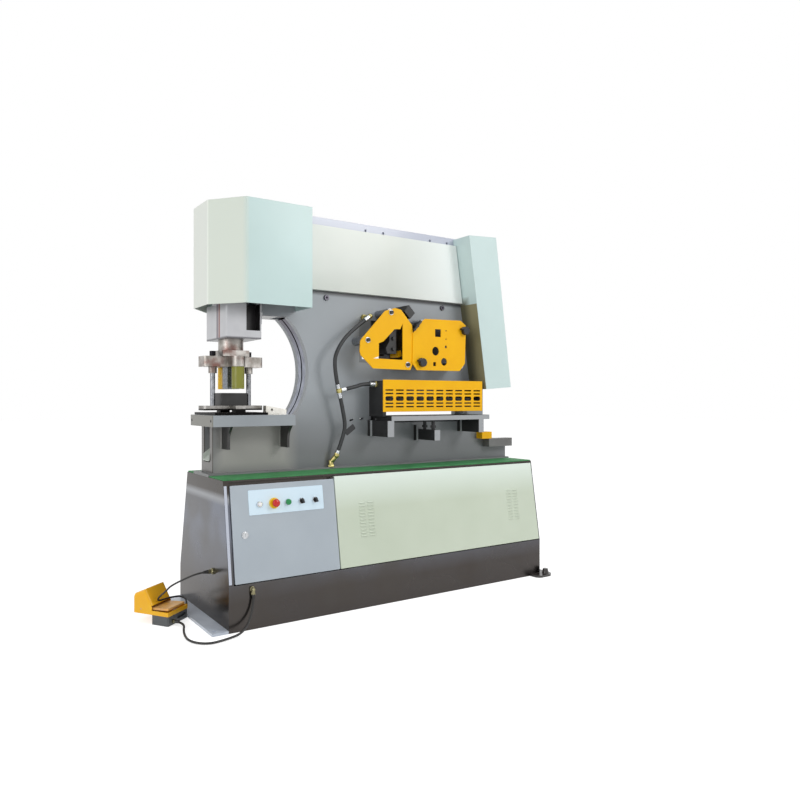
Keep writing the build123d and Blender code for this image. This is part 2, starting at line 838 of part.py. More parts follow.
with BuildPart() as die_block:
    with BuildSketch(at(cross_top)):
        with Locations((punch_x, mid_y)):
            Rectangle(130, 90)
            Rectangle(punch_side + 2 * play, punch_side + 2 * play, mode=Mode.SUBTRACT)
    extrude(amount=die_top - cross_top)
die_block.part.label = "die_block"
export_step(die_block.part, "parts/die_block.step")

# Die holder: base plate, two pedestals and the lower cross plate in one.
with BuildPart() as die_holder:
    with BuildSketch(at(table_top)):
        with Locations((punch_x, mid_y)):
            Rectangle(268, 264)
    extrude(amount=saddle_top - table_top)
    with BuildSketch(at(saddle_top)):
        with Locations((punch_x, mid_y - 93.5), (punch_x, mid_y + 93.5)):
            Rectangle(50, 47)
    extrude(amount=cross_top - saddle_top)
    with BuildSketch(at(cross_low)):
        with Locations((punch_x, mid_y)):
            Rectangle(2 * shoe_half, shoe_deep)
            Rectangle(50, 190)
    extrude(amount=cross_top - cross_low)
    with BuildSketch(at(table_top)):
        with Locations((punch_x, mid_y)):
            Rectangle(punch_side + 6, punch_side + 6)
    extrude(amount=cross_top - table_top, mode=Mode.SUBTRACT)
    chamfer(die_holder.edges().filter_by(Axis.Z).sort_by(Axis.X)[:2], 8)
    chamfer(die_holder.edges().filter_by(Axis.Z).sort_by(Axis.X)[-2:], 8)
die_holder.part.label = "die_holder"
export_step(die_holder.part, "parts/die_holder.step")

table_left = left - 18
table_right = left + 402
table_front = front + 140
table_rear = front + 490
gusset_front = front + 154
gusset_toe = front + 189
gusset_low = 770

# Punching table with gussets welded to both faces of the frame.
with BuildPart() as punch_table:
    with BuildSketch(at(table_under)):
        Polygon((table_left, table_front), (table_right, table_front), (table_right, table_rear),
                (left + 60, table_rear), (table_left, table_rear - 72), align=None)
        with Locations((punch_x, mid_y)):
            Rectangle(punch_side + 10, punch_side + 10, mode=Mode.SUBTRACT)
    extrude(amount=table_top - table_under)
    for way, face in ((-1, plate_front), (1, plate_rear)):
        for x in (left + 75, left + 383):
            with BuildSketch(facing_right(x)):
                with BuildLine():
                    a = (face, table_under)
                    b = (face + way * (plate_front - gusset_front) * (1 if way < 0 else 0.75), table_under)
                    c = (face + way * (plate_front - gusset_toe) * (1 if way < 0 else 0.75), gusset_low + 34)
                    d = (c[0], gusset_low)
                    e = (face, gusset_low)
                    Polyline(c, d, e, a, b)
                    Spline(b, c, tangents=[(-way * 0.9, -1), (0, -1)])
                make_face()
            extrude(amount=12)
    with BuildSketch(facing_right(table_left)):
        with Locations((table_front + 20, 903), (front + 402, 903)):
            Circle(5)
    extrude(amount=14, mode=Mode.SUBTRACT)
punch_table.part.label = "punch_table"
export_step(punch_table.part, "parts/punch_table.step")

with BuildPart() as stop_bar:
    with BuildSketch(facing_front(front + 262)):
        Polygon((left + 290, table_top), (left + 400, table_top), (left + 400, 952), (left + 290, 971),
                align=None)
        with Locations((left + 322, 950)):
            Circle(7, mode=Mode.SUBTRACT)
    extrude(amount=32)
stop_bar.part.label = "stop_bar"
export_step(stop_bar.part, "parts/stop_bar.step")

upper_front = front + 240
tray_sheet = 2
tray_left = cover_right + 3
tray_low = frame_height - 372
tray_top = frame_height - 46
upper_tray = [
    (tray_left, tray_low),
    (right - 368, tray_low),
    (right - 417, tray_top),
    (tray_left, tray_top),
]

# Upper panels: shallow trays on the front and the back of the frame.
with BuildPart() as upper_panels:
    with BuildSketch(facing_front(plate_front)):
        Polygon(*upper_tray, align=None)
    extrude(amount=plate_front - upper_front)
    with BuildSketch(facing_front(plate_front)):
        Polygon(*upper_tray, align=None)
        offset(amount=-tray_sheet, kind=Kind.INTERSECTION)
    extrude(amount=plate_front - upper_front - tray_sheet, mode=Mode.SUBTRACT)
    mirror(about=Plane.XZ.offset(-mid_y))
upper_panels.part.label = "upper_panels"
export_step(upper_panels.part, "parts/upper_panels.step")

# Shearing side: barrel, rod and cover share the leaning axis.
down = (sin(lean), -cos(lean))
across = (cos(lean), sin(lean))


def on_axis(z, side=0):
    return (axis_x(z) + side * across[0], z + side * across[1])


barrel_top_z = frame_height - 54
shear_rod_r = 34
rod_gap = 0.5
tip_r = 60

with BuildPart() as shear_cylinder:
    with BuildSketch(facing_front(mid_y + 85)):
        Polygon(on_axis(barrel_top_z, -barrel_half), on_axis(barrel_top_z, barrel_half),
                on_axis(barrel_foot_z, barrel_half), on_axis(barrel_foot_z, -barrel_half), align=None)
    extrude(amount=170)
    with BuildSketch(Plane(origin=(on_axis(barrel_foot_z)[0], mid_y, on_axis(barrel_foot_z)[1]),
                           x_dir=(0, 1, 0), z_dir=(-down[0], 0, -down[1]))):
        Circle(shear_rod_r + fit)
    extrude(amount=400, mode=Mode.SUBTRACT)
shear_cylinder.part.label = "shear_cylinder"
export_step(shear_cylinder.part, "parts/shear_cylinder.step")

rod_plane = Plane(origin=(pad_x - rod_gap * down[0], mid_y, pad_z - rod_gap * down[1]),
                  x_dir=(across[0], 0, across[1]), z_dir=(0, -1, 0))
dome_rise = tip_r - (tip_r ** 2 - shear_rod_r ** 2) ** 0.5

# Rod of the shear cylinder with a domed end.
with BuildPart() as shear_rod:
    with BuildSketch(rod_plane):
        with BuildLine():
            Polyline((shear_rod_r, dome_rise), (shear_rod_r, 460), (0, 460), (0, 0))
            RadiusArc((0, 0), (shear_rod_r, dome_rise), -tip_r)
        make_face()
    revolve(axis=Axis(rod_plane.origin, rod_plane.y_dir))
shear_rod.part.label = "shear_rod"
export_step(shear_rod.part, "parts/shear_rod.step")

inclined_front = front + 132
inclined_rear = 2 * mid_y - inclined_front
inclined_face = [
    (right - 418, frame_height - 7),
    (right - 286, 1059),
    (right - 92, 1072),
    (right - 211, frame_height + 5),
]

# Inclined cover over the shear cylinder, open below and slotted round the frame.
with BuildPart() as shear_cover:
    with BuildSketch(facing_front(inclined_rear)):
        Polygon(*inclined_face, align=None)
    extrude(amount=inclined_rear - inclined_front)
    with BuildSketch(facing_front(inclined_rear - cover_sheet)):
        Polygon((right - 414, frame_height - 11), (right - 274, 1000), (right - 86, 1000),
                (right - 214, frame_height + 1.5), align=None)
    extrude(amount=inclined_rear - inclined_front - 2 * cover_sheet, mode=Mode.SUBTRACT)
    with BuildSketch(facing_front(plate_rear + seat)):
        Polygon((right - 470, frame_height + 76), (right - 470, 1000), (right - 240, 1000),
                (right - 388, frame_height + 76), align=None)
    extrude(amount=plate_rear - plate_front + 2 * seat, mode=Mode.SUBTRACT)
shear_cover.part.label = "shear_cover"
export_step(shear_cover.part, "parts/shear_cover.step")

beam_front = gap_front + play
beam_rear = gap_rear - 3
eye_r = 95
pin_r = 40
turn = radians(beam_turn)
edge_drop = 170


def edge_z(x):
    """Height of the shearing edge at rest; it turns level at the end of the stroke."""
    return pivot_z - edge_drop / cos(turn) + (x - pivot_x) * tan(turn)


blade_left = left + 930
blade_right = right - 315
bite = 17
bite_z = 23
blade_seat = 12
angle_blade = angle_leg + blade_seat
section_blade = (160, 220)
section_window = (section_blade[0] - 16, section_blade[1] - 16)

# Shear beam: thick plate in the gap, pivoted on the left and pressed down on the right.
with BuildPart() as shear_beam:
    with BuildSketch(facing_front(beam_rear)):
        with Locations((pivot_x, pivot_z)):
            Circle(eye_r)
        Polygon((pivot_x - eye_r, pivot_z + 5), (left + 800, 1440), (left + 880, 1485),
                (right - 460, 1500), (pad_x - 62 * across[0], pad_z - 62 * across[1]),
                (pad_x + 55 * across[0], pad_z + 55 * across[1]), (right - 160, 1160),
                (right - 280, edge_z(right - 280)), (left + 905, edge_z(left + 905)),
                (pivot_x, pivot_z - eye_r), align=None)
        with Locations((pivot_x, pivot_z)):
            Circle(pin_r + fit, mode=Mode.SUBTRACT)
        # Windows behind the angle blade and behind the section blade.
        with Locations((angle_x, angle_z)):
            Rectangle(angle_leg, angle_leg, align=(Align.MAX, Align.MIN), mode=Mode.SUBTRACT)
        with Locations(section_mid):
            Rectangle(*section_window, mode=Mode.SUBTRACT)
    extrude(amount=beam_rear - beam_front)
    # Seats of the moving blades in the front face.
    with BuildSketch(facing_front(beam_front + blade_thick)):
        Polygon((blade_left, edge_z(blade_left) - 1), (blade_right, edge_z(blade_right) - 1),
                (blade_right, edge_z(blade_right) + blade_high),
                (blade_left, edge_z(blade_left) + blade_high), align=None)
        with Locations((angle_x - bite, angle_z + bite_z)):
            Rectangle(angle_blade - bite, angle_blade - bite_z, align=(Align.MAX, Align.MIN))
        with Locations(section_mid):
            Rectangle(*section_blade)
    extrude(amount=blade_thick, mode=Mode.SUBTRACT)
shear_beam.part.label = "shear_beam"
export_step(shear_beam.part, "parts/shear_beam.step")

with BuildPart() as beam_pin:
    with BuildSketch(facing_front(gap_front)):
        with Locations((pivot_x, pivot_z)):
            Circle(pin_r)
    extrude(amount=-(plate_rear - gap_front))
    with BuildSketch(facing_front(plate_rear)):
        with Locations((pivot_x, pivot_z)):
            Circle(62)
    extrude(amount=-14)
    with BuildSketch(facing_front(plate_rear)):
        with Locations((pivot_x, pivot_z)):
            Circle(hub_r)
    extrude(amount=plate_thick)
beam_pin.part.label = "beam_pin"
export_step(beam_pin.part, "parts/beam_pin.step")

# Blades that ride on the beam: flat blade, angle blade and section blade.
with BuildPart() as moving_blades:
    with BuildSketch(facing_front(beam_front + blade_thick)):
        Polygon((blade_left, edge_z(blade_left)), (blade_right, edge_z(blade_right)),
                (blade_right, edge_z(blade_right) + blade_high),
                (blade_left, edge_z(blade_left) + blade_high), align=None)
        with Locations((angle_x - bite, angle_z + bite_z)):
            Rectangle(angle_blade - bite, angle_blade - bite_z, align=(Align.MAX, Align.MIN))
        with Locations(section_mid):
            Rectangle(*section_blade)
        with Locations(square_hole[:2]):
            Rectangle(square_hole[2], square_hole[2], mode=Mode.SUBTRACT)
        with Locations(round_hole_a[:2]):
            Circle(round_hole_a[2], mode=Mode.SUBTRACT)
        with Locations(round_hole_b[:2]):
            Circle(round_hole_b[2], mode=Mode.SUBTRACT)
    extrude(amount=blade_thick)
moving_blades.part.label = "moving_blades"
export_step(moving_blades.part, "parts/moving_blades.step")

# Blades fixed in the front plate: lower flat blade, angle block and section block.
with BuildPart() as fixed_blades:
    with BuildSketch(facing_front(gap_front)):
        with Locations((slot_left, blade_top)):
            Rectangle(slot_right - slot_left, blade_high, align=(Align.MIN, Align.MAX))
        with Locations((angle_x + 25, angle_z - 18)):
            Rectangle(angle_leg + 43, angle_leg + 43, align=(Align.MAX, Align.MIN))
        Polygon((angle_x, angle_z), (angle_x, angle_z + angle_leg), (angle_x - 45, angle_z + angle_leg),
                (angle_x - angle_leg, angle_z + 45), (angle_x - angle_leg, angle_z), align=None,
                mode=Mode.SUBTRACT)
        with Locations(section_mid):
            Rectangle(*section_size)
        with Locations(square_hole[:2]):
            Rectangle(square_hole[2], square_hole[2], mode=Mode.SUBTRACT)
        with Locations(round_hole_a[:2]):
            Circle(round_hole_a[2], mode=Mode.SUBTRACT)
        with Locations(round_hole_b[:2]):
            Circle(round_hole_b[2], mode=Mode.SUBTRACT)
    extrude(amount=plate_thick)
fixed_blades.part.label = "fixed_blades"
export_step(fixed_blades.part, "parts/fixed_blades.step")

guard_face = plate_front - guard_stand
guard_thick = 5
stud_r = 8
guard_bolts = [(left + 973, 1453), (left + 826, 1303), (left + 1082, 1184)]
knob_spots = [(left + 1475, 1382), (left + 1170, 1197)]
inner_posts = [(left + 1188, 1408), (left + 1455, 1190)]

# Yellow guard of the angle shear.
with BuildPart() as angle_guard:
    with BuildSketch(facing_front(guard_face)):
        Polygon((left + 936, 1459), (left + 999, 1478), (left + 1039, 1471), (left + 1111, 1395),
                (left + 1116, 1360), (left + 1116, 1190), (left + 1100, 1156), (left + 860, 1159),
                (left + 784, 1224), (left + 777, 1242), (left + 781, 1296), (left + 790, 1309), align=None)
        Polygon((left + 1050, 1400), (left + 1050, 1208), (left + 860, 1211), (left + 895, 1222),
                (left + 895, 1290), (left + 924, 1300), (left + 996, 1367), (left + 1033, 1369),
                align=None, mode=Mode.SUBTRACT)
    extrude(amount=guard_thick)
angle_guard.part.label = "angle_guard"
export_step(angle_guard.part, "parts/angle_guard.step")

# Yellow guard of the section shear, one sheet in front of the angle guard.
with BuildPart() as section_guard:
    with BuildSketch(facing_front(guard_face - guard_thick)):
        Polygon((left + 1197, 1433), (left + 1450, 1438), (left + 1489, 1412), (left + 1482, 1201),
                (left + 1443, 1158), (left + 1141, 1156), (left + 1110, 1193), (left + 1114, 1350),
                (left + 1161, 1407), align=None)
        with Locations(square_hole[:2]):
            Rectangle(square_hole[2], square_hole[2], mode=Mode.SUBTRACT)
        with Locations(round_hole_a[:2]):
            Circle(round_hole_a[2], mode=Mode.SUBTRACT)
        with Locations(round_hole_b[:2]):
            Circle(round_hole_b[2], mode=Mode.SUBTRACT)
        with Locations((left + 1263, 1192)):
            Rectangle(20, 22, mode=Mode.SUBTRACT)
        with Locations((left + 1344, 1376), (left + 1344, 1330)):
            Circle(4.5, mode=Mode.SUBTRACT)
        with Locations((left + 1343, 1288)):
            Circle(8, mode=Mode.SUBTRACT)
        with Locations(*knob_spots):
            Circle(stud_r + fit, mode=Mode.SUBTRACT)
    extrude(amount=guard_thick)
section_guard.part.label = "section_guard"
export_step(section_guard.part, "parts/section_guard.step")

post_r = 22
collar_wide = 15

# Posts that carry both guards, with bolts through the angle guard.
with BuildPart() as guard_posts:
    with BuildSketch(facing_front(plate_front)):
        with Locations(*guard_bolts):
            Circle(post_r)
    extrude(amount=guard_stand)
    with BuildSketch(facing_front(plate_front)):
        with Locations(*(knob_spots + inner_posts)):
            Circle(post_r)
    extrude(amount=guard_stand + guard_thick)
    with BuildSketch(facing_front(guard_face - guard_thick)):
        with Locations(*guard_bolts):
            Circle(collar_wide)
    extrude(amount=4)
    with BuildSketch(facing_front(guard_face - guard_thick - 4)):
        with Locations(*guard_bolts):
            Circle(stud_r)
            RegularPolygon(4, 6, mode=Mode.SUBTRACT)
    extrude(amount=6)
    with BuildSketch(facing_front(guard_face - guard_thick)):
        with Locations(*knob_spots):
            Circle(stud_r + fit)
    extrude(amount=-guard_thick - 45, mode=Mode.SUBTRACT)
    # Bosses on the frame under the upper panel and the angle hold-down block.
    with BuildSketch(facing_front(plate_front)):
        with Locations((left + 647, 1519), (left + 1418, 1520)):
            Circle(14)
            Circle(5, mode=Mode.SUBTRACT)
    extrude(amount=9)
    with BuildSketch(facing_front(plate_front)):
        Polygon((left + 1062, 1464), (left + 1100, 1428), (left + 1132, 1460), (left + 1092, 1500),
                align=None)
    extrude(amount=guard_stand + 4)
    with BuildSketch(facing_front(plate_front)):
        with Locations((left + 1137, 1392)):
            Circle(14)
            Circle(6 + fit, mode=Mode.SUBTRACT)
    extrude(amount=guard_stand - 10)
guard_posts.part.label = "guard_posts"
export_step(guard_posts.part, "parts/guard_posts.step")

# T screw of the angle hold-down.
with BuildPart() as holddown_screw:
    with BuildSketch(facing_front(plate_front - 2)):
        with Locations((left + 1137, 1392)):
            Circle(6)
    extrude(amount=guard_stand + 22)
    with BuildSketch(facing_front(guard_face - 2 * guard_thick - 2)):
        with Locations((left + 1137, 1392)):
            Circle(9)
            SlotOverall(74, 11, rotation=48)
    extrude(amount=12)
holddown_screw.part.label = "holddown_screw"
export_step(holddown_screw.part, "parts/holddown_screw.step")

knob_r = 23
knob_out = 24

with BuildPart() as clamp_knob_upper:
    with BuildSketch(facing_front(guard_face + 40)):
        with Locations(knob_spots[0]):
            Circle(stud_r)
    extrude(amount=40 + guard_thick * 2)
    with BuildSketch(facing_front(guard_face - 2 * guard_thick)):
        with Locations(knob_spots[0]):
            Circle(knob_r)
            with Locations((-22, 12)):
                SlotOverall(26, 9, rotation=150)
    extrude(amount=knob_out)
clamp_knob_upper.part.label = "clamp_knob_upper"
export_step(clamp_knob_upper.part, "parts/clamp_knob_upper.step")

with BuildPart() as clamp_knob_lower:
    with BuildSketch(facing_front(guard_face + 40)):
        with Locations(knob_spots[1]):
            Circle(stud_r)
    extrude(amount=40 + guard_thick * 2)
    with BuildSketch(facing_front(guard_face - 2 * guard_thick)):
        with Locations(knob_spots[1]):
            Circle(knob_r)
            with Locations((-20, 14)):
                SlotOverall(26, 9, rotation=145)
    extrude(amount=knob_out)
clamp_knob_lower.part.label = "clamp_knob_lower"
export_step(clamp_knob_lower.part, "parts/clamp_knob_lower.step")

housing_left = left + 915
housing_right = right - 313
housing_low = 912
housing_high = 1098
housing_front = front + 141
wall = 20
bar_low = 950
plunger_r = 14
plunger_xs = (housing_left + 165, housing_right - 167)
plunger_y = front + 205
boss_low = 1040

# Hold-down housing: end plates, top and two bosses bored from below for the plungers.
with BuildPart() as holddown_housing:
    with BuildSketch(facing_front(plate_front)):
        with Locations((housing_left, housing_high)):
            Rectangle(housing_right - housing_left, wall, align=(Align.MIN, Align.MAX))
        with Locations((housing_left, housing_high)):
            Rectangle(wall, housing_high - housing_low, align=(Align.MIN, Align.MAX))
        with Locations((housing_right, housing_high)):
            Rectangle(wall, housing_high - 940, align=(Align.MAX, Align.MAX))
    extrude(amount=plate_front - housing_front)
    with BuildSketch(at(boss_low)):
        with Locations(*[(x, plunger_y) for x in plunger_xs]):
            Circle(plunger_r + 10)
    extrude(amount=housing_high - wall - boss_low)
    with BuildSketch(at(boss_low)):
        with Locations(*[(x, plunger_y) for x in plunger_xs]):
            Circle(plunger_r + fit)
    extrude(amount=housing_high - 4 - boss_low, mode=Mode.SUBTRACT)
holddown_housing.part.label = "holddown_housing"
export_step(holddown_housing.part, "parts/holddown_housing.step")

with BuildPart() as holddown_bar:
    with BuildSketch(at(bar_low)):
        with Locations((housing_left + wall + play, plunger_y - 30)):
            Rectangle(housing_right - housing_left - 2 * wall - 2 * play, 60,
                      align=(Align.MIN, Align.MIN))
    extrude(amount=60)
    with BuildSketch(at(bar_low + 60)):
        with Locations(*[(x, plunger_y) for x in plunger_xs]):
            Circle(plunger_r)
    extrude(amount=housing_high - 6 - bar_low - 60)
holddown_bar.part.label = "holddown_bar"
export_step(holddown_bar.part, "parts/holddown_bar.step")

slot_pitch = (housing_right - housing_left - 12) / 10
guard_mid = (housing_left + housing_right) / 2 - 1

# Yellow slotted guard in front of the hold-down.
with BuildPart() as shear_guard:
    with BuildSketch(facing_front(housing_front)):
        with Locations((housing_left - 1, 936)):
            Rectangle(housing_right - housing_left + 1, 167, align=(Align.MIN, Align.MIN))
        with Locations((guard_mid, 1040), (guard_mid, 971.5)):
            with GridLocations(slot_pitch, 18, 10, 2):
                Rectangle(slot_pitch - 17, 7.5, mode=Mode.SUBTRACT)
        with Locations((guard_mid, 1005)):
            with GridLocations(slot_pitch, 0, 10, 1):
                RectangleRounded(slot_pitch - 16, 24, 10, mode=Mode.SUBTRACT)
    extrude(amount=3)
shear_guard.part.label = "shear_guard"
export_step(shear_guard.part, "parts/shear_guard.step")

shear_table_low = 890

with BuildPart() as shear_table:
    with BuildSketch(at(shear_table_low)):
        with Locations((left + 940, front + 100)):
            Rectangle(right - 295 - left - 940, plate_front - front - 100, align=(Align.MIN, Align.MIN))
    extrude(amount=blade_top - shear_table_low)
    chamfer(shear_table.edges().group_by(Axis.Z)[-1].sort_by(Axis.Y)[0], 2)
shear_table.part.label = "shear_table"
export_step(shear_table.part, "parts/shear_table.step")

bracket_xs = (left + 915, left + 1225, right - 375)

# Brackets under the shear table with the two adjusting screws of the middle one.
with BuildPart() as support_brackets:
    for x, wide, low, high in ((bracket_xs[0], 41, 808, shear_table_low), (bracket_xs[1], 38, 781, 837),
                               (bracket_xs[2], 36, 818, shear_table_low)):
        with BuildSketch(facing_front(plate_front)):
            with Locations((x, low)):
                Rectangle(wide, high - low, align=(Align.MIN, Align.MIN))
        extrude(amount=plate_front - front - 100)
    for x, low, high in ((bracket_xs[0] - 10, 808, shear_table_low), (bracket_xs[1] - 10, 775, 860),
                         (bracket_xs[2] - 10, 818, shear_table_low)):
        with BuildSketch(facing_front(plate_front)):
            with Locations((x, low)):
                Rectangle(10, high - low, align=(Align.MIN, Align.MIN))
        extrude(amount=24)
    with BuildSketch(at(837)):
        with Locations((bracket_xs[1] + 19, front + 135), (bracket_xs[1] + 19, front + 205)):
            Circle(9)
    extrude(amount=shear_table_low - 837)
    with BuildSketch(at(848)):
        with Locations((bracket_xs[1] + 19, front + 135), (bracket_xs[1] + 19, front + 205)):
            RegularPolygon(16, 6)
    extrude(amount=13)
support_brackets.part.label = "support_brackets"
export_step(support_brackets.part, "parts/support_brackets.step")

# Notching die block with its bar table.
with BuildPart() as notcher_block:
    with BuildSketch(facing_front(plate_front)):
        with Locations((step_x + 3, step_z + 3)):
            Rectangle(188, 48, align=(Align.MIN, Align.MIN))
    extrude(amount=49)
    with BuildSketch(facing_front(plate_rear - 8)):
        with Locations((step_x + 3, step_z + 3)):
            Rectangle(90, 48, align=(Align.MIN, Align.MIN))
    extrude(amount=plate_rear - 8 - plate_front)
    with BuildSketch(at(step_z)):
        with Locations((step_x + 3, plate_front)):
            Rectangle(90, 120, align=(Align.MIN, Align.MIN))
    extrude(amount=3)
notcher_block.part.label = "notcher_block"
export_step(notcher_block.part, "parts/notcher_block.step")

with BuildPart() as notcher_guard:
    with BuildSketch(facing_front(plate_front)):
        with Locations((step_x - 51, step_z + 51)):
            Rectangle(78, 40, align=(Align.MIN, Align.MIN))
    extrude(amount=47)
notcher_guard.part.label = "notcher_guard"
export_step(notcher_guard.part, "parts/notcher_guard.step")

# Hydraulic hoses on the front of the frame, as polylines from crimp to crimp.
hose_r = 10
crimp_r = 12.5


def here(x, y, z):
    """Point given from the front left bottom corner of the base."""
    return (left + x, front + y, z)


def bend_radii(points):
    """Largest tangent arc at each corner that still leaves straight runs between the arcs."""
    radii = []
    for before, corner, after in zip(points, points[1:], points[2:]):
        inward = Vector(*corner) - Vector(*before)
        outward = Vector(*after) - Vector(*corner)
        half_turn = radians(inward.get_angle(outward)) / 2
        radii.append(0.45 * min(inward.length, outward.length) / tan(half_turn))
    return radii


def toward(start, end):
    return Plane(origin=start, z_dir=Vector(*end) - Vector(*start))


def along(start, end, distance):
    """Point at a distance from the start on the way to the end."""
    point = Vector(*start) + (Vector(*end) - Vector(*start)).normalized() * distance
    return (point.X, point.Y, point.Z)


def between_crimps(points, head, tail):
    """Hose route cut back at both ends by the lengths of the crimps."""
    first = along(points[0], points[1], head)
    last = along(points[-1], points[-2], tail)
    return [first] + points[1:-1] + [last]


tee = here(679, 193.5, 1045.5)
upper_elbow = here(876, 201, 1432)
lower_elbow = here(683, 223, 716)
base_port = here(665, 245, plate_foot)
branch_port = here(915, 200, 1080)
upper_path = [upper_elbow, here(752, 190, 1352), here(672, 183, 1268), here(636, 180, 1175), tee]
lower_path = [tee, here(713, 202, 930), here(726, 206, 862), here(712, 214, 795), lower_elbow]
branch_path = [tee, here(775, 194, 1063), here(832, 197, 1082), branch_port]
crimps = ((45, 34), (39, 27), (40, 34))
upper_route, lower_route, branch_route = [
    between_crimps(path, *ends) for path, ends in zip((upper_path, lower_path, branch_path), crimps)
]

# Upper hose, lower hose with its tag, and branch hose to the hold-down.
with BuildPart() as hydraulic_hoses:
    for route in (upper_route, lower_route, branch_route):
        with BuildLine() as course:
            FilletPolyline(*route, radius=bend_radii(route))
        with BuildSketch(toward(route[0], route[1])):
            Circle(hose_r)
        sweep(path=course.wire())
    with BuildSketch(facing_front(front + 212)):
        with Locations((left + 750, 846)):
            RectangleRounded(66, 32, 3, rotation=-35)
    extrude(amount=14)
hydraulic_hoses.part.label = "hydraulic_hoses"
export_step(hydraulic_hoses.part, "parts/hydraulic_hoses.step")

pedal_turn = radians(36)
pedal_corner = Vector(*here(-194, 217, 0))
pedal_u = Vector(cos(pedal_turn), sin(pedal_turn), 0)
pedal_v = Vector(-sin(pedal_turn), cos(pedal_turn), 0)


def on_pedal(u, v, z):
    """Point of the foot switch: u along its front edge, v back from it."""
    point = pedal_corner + pedal_u * u + pedal_v * v
    return (point.X, point.Y, z)


pedal_plane = Plane(origin=pedal_corner, x_dir=pedal_u, z_dir=(0, 0, 1))
pedal_wide = 148
pedal_base_deep = 90
pedal_base_high = 42
pedal_deep = 185
hood_v = 90
face_low = 82
ridge_v = 128
ridge_high = 151
hood_rear_high = 127
hood_round = 16
tray_high = 18
shell = 5
treadle_hinge = (148, 62)
treadle_pin_r = 4

cable_b_r = 4
gland_long = 12
gland_r = 9
pedal_gland_x = 35
pedal_gland_z = 16
cable_a_route = [here(110, -12, 158), here(110, -14, 92), here(56, -40, 9), here(-40, -72, 6.5),
                 here(-128, -84, 6.5), here(-184, -14, 6.5), here(-168, 96, 6.5),
                 on_pedal(pedal_gland_x, -62, pedal_gland_z),
                 on_pedal(pedal_gland_x, -gland_long, pedal_gland_z)]
cable_b_route = [here(-24, 176, gland_z), here(-76, 176, gland_z), here(-134, 214, 198), here(-176, 250, 168),
                 on_pedal(40, 41, 142), on_pedal(23, 67, 118), on_pedal(35, 84, 97), on_pedal(66, 84, 91),
                 on_pedal(107, 79, 90), on_pedal(156, 78, 83), on_pedal(190, 65, 78), on_pedal(194, 32, 62),
                 on_pedal(162, 21, 46)]

# Crimps, tee, elbows and ports of the hoses, and the four cable glands.
with BuildPart() as fittings:
    for start, end, radius in (
        (upper_route[0], upper_elbow, crimp_r),
        (upper_elbow, (upper_elbow[0], plate_front, upper_elbow[2]), 11),
        (upper_route[-1], tee, crimp_r),
        (lower_route[0], tee, crimp_r),
        (branch_route[0], tee, crimp_r),
        (branch_route[-1], along(branch_route[-1], branch_port, 60), crimp_r),
        (lower_route[-1], lower_elbow, crimp_r),
        (lower_elbow, (base_port[0], base_port[1], base_port[2] + 26), 12),
    ):
        with BuildSketch(toward(start, end)):
            Circle(radius)
        extrude(amount=(Vector(*end) - Vector(*start)).length)
    with Locations(upper_elbow, tee, lower_elbow):
        Sphere(14)
    with BuildSketch(at(plate_foot)):
        with Locations(base_port[:2]):
            RegularPolygon(17, 6)
    extrude(amount=12)
    with BuildSketch(at(plate_foot)):
        with Locations(base_port[:2]):
            Circle(13)
    extrude(amount=34)
    with BuildSketch(facing_front(plate_front)):
        with Locations((upper_elbow[0], upper_elbow[2])):
            RegularPolygon(17, 6)
    extrude(amount=14)
    with BuildSketch(facing_right(left + 915)):
        with Locations(branch_port[1:]):
            RegularPolygon(16, 6)
    extrude(amount=-12)
    # The housing face ends the branch fitting.
    with BuildSketch(facing_right(left + 915)):
        with Locations(branch_port[1:]):
            Rectangle(60, 60)
    extrude(amount=60, mode=Mode.SUBTRACT)
    # Glands on the skirt and on the left end.
    with BuildSketch(facing_front(front)):
        with Locations((skirt_gland_x, skirt_gland_z)):
            Rectangle(26, 28)
    extrude(amount=24)
    with BuildSketch(toward(cable_a_route[0], cable_a_route[1])):
        Circle(gland_r)
    extrude(amount=-16)
    with BuildSketch(facing_right(left)):
        with Locations((gland_y, gland_z)):
            Circle(10)
    extrude(amount=cable_b_route[0][0] - left)
    with BuildSketch(facing_right(left)):
        with Locations((gland_y, gland_z)):
            RegularPolygon(15, 6)
    extrude(amount=-9)
    # Glands on the front and on the right side of the foot switch.
    with BuildSketch(toward(cable_a_route[-1], cable_a_route[-2])):
        Circle(gland_r)
    extrude(amount=-gland_long)
    with BuildSketch(toward(cable_b_route[-1], cable_b_route[-2])):
        Circle(8)
    extrude(amount=-30)
    with BuildSketch(pedal_plane):
        with Locations((pedal_wide, -5)):
            Rectangle(60, 50, align=(Align.MAX, Align.MIN))
    extrude(amount=80, mode=Mode.SUBTRACT)
fittings.part.label = "fittings"
export_step(fittings.part, "parts/fittings.step")

# Foot switch base with a dark slot in its front.
with BuildPart() as footswitch_base:
    with BuildSketch(pedal_plane):
        with Locations((pedal_wide / 2, pedal_base_deep / 2)):
            Rectangle(pedal_wide, pedal_base_deep)
    extrude(amount=pedal_base_high)
    with BuildSketch(Plane(origin=on_pedal(0, 0, 0), x_dir=pedal_u, z_dir=-pedal_v)):
        with Locations((100, 24)):
            SlotOverall(66, 14)
    extrude(amount=-8, mode=Mode.SUBTRACT)
    chamfer(footswitch_base.edges().filter_by(Axis.Z), 5)
footswitch_base.part.label = "footswitch_base"
export_step(footswitch_base.part, "parts/footswitch_base.step")

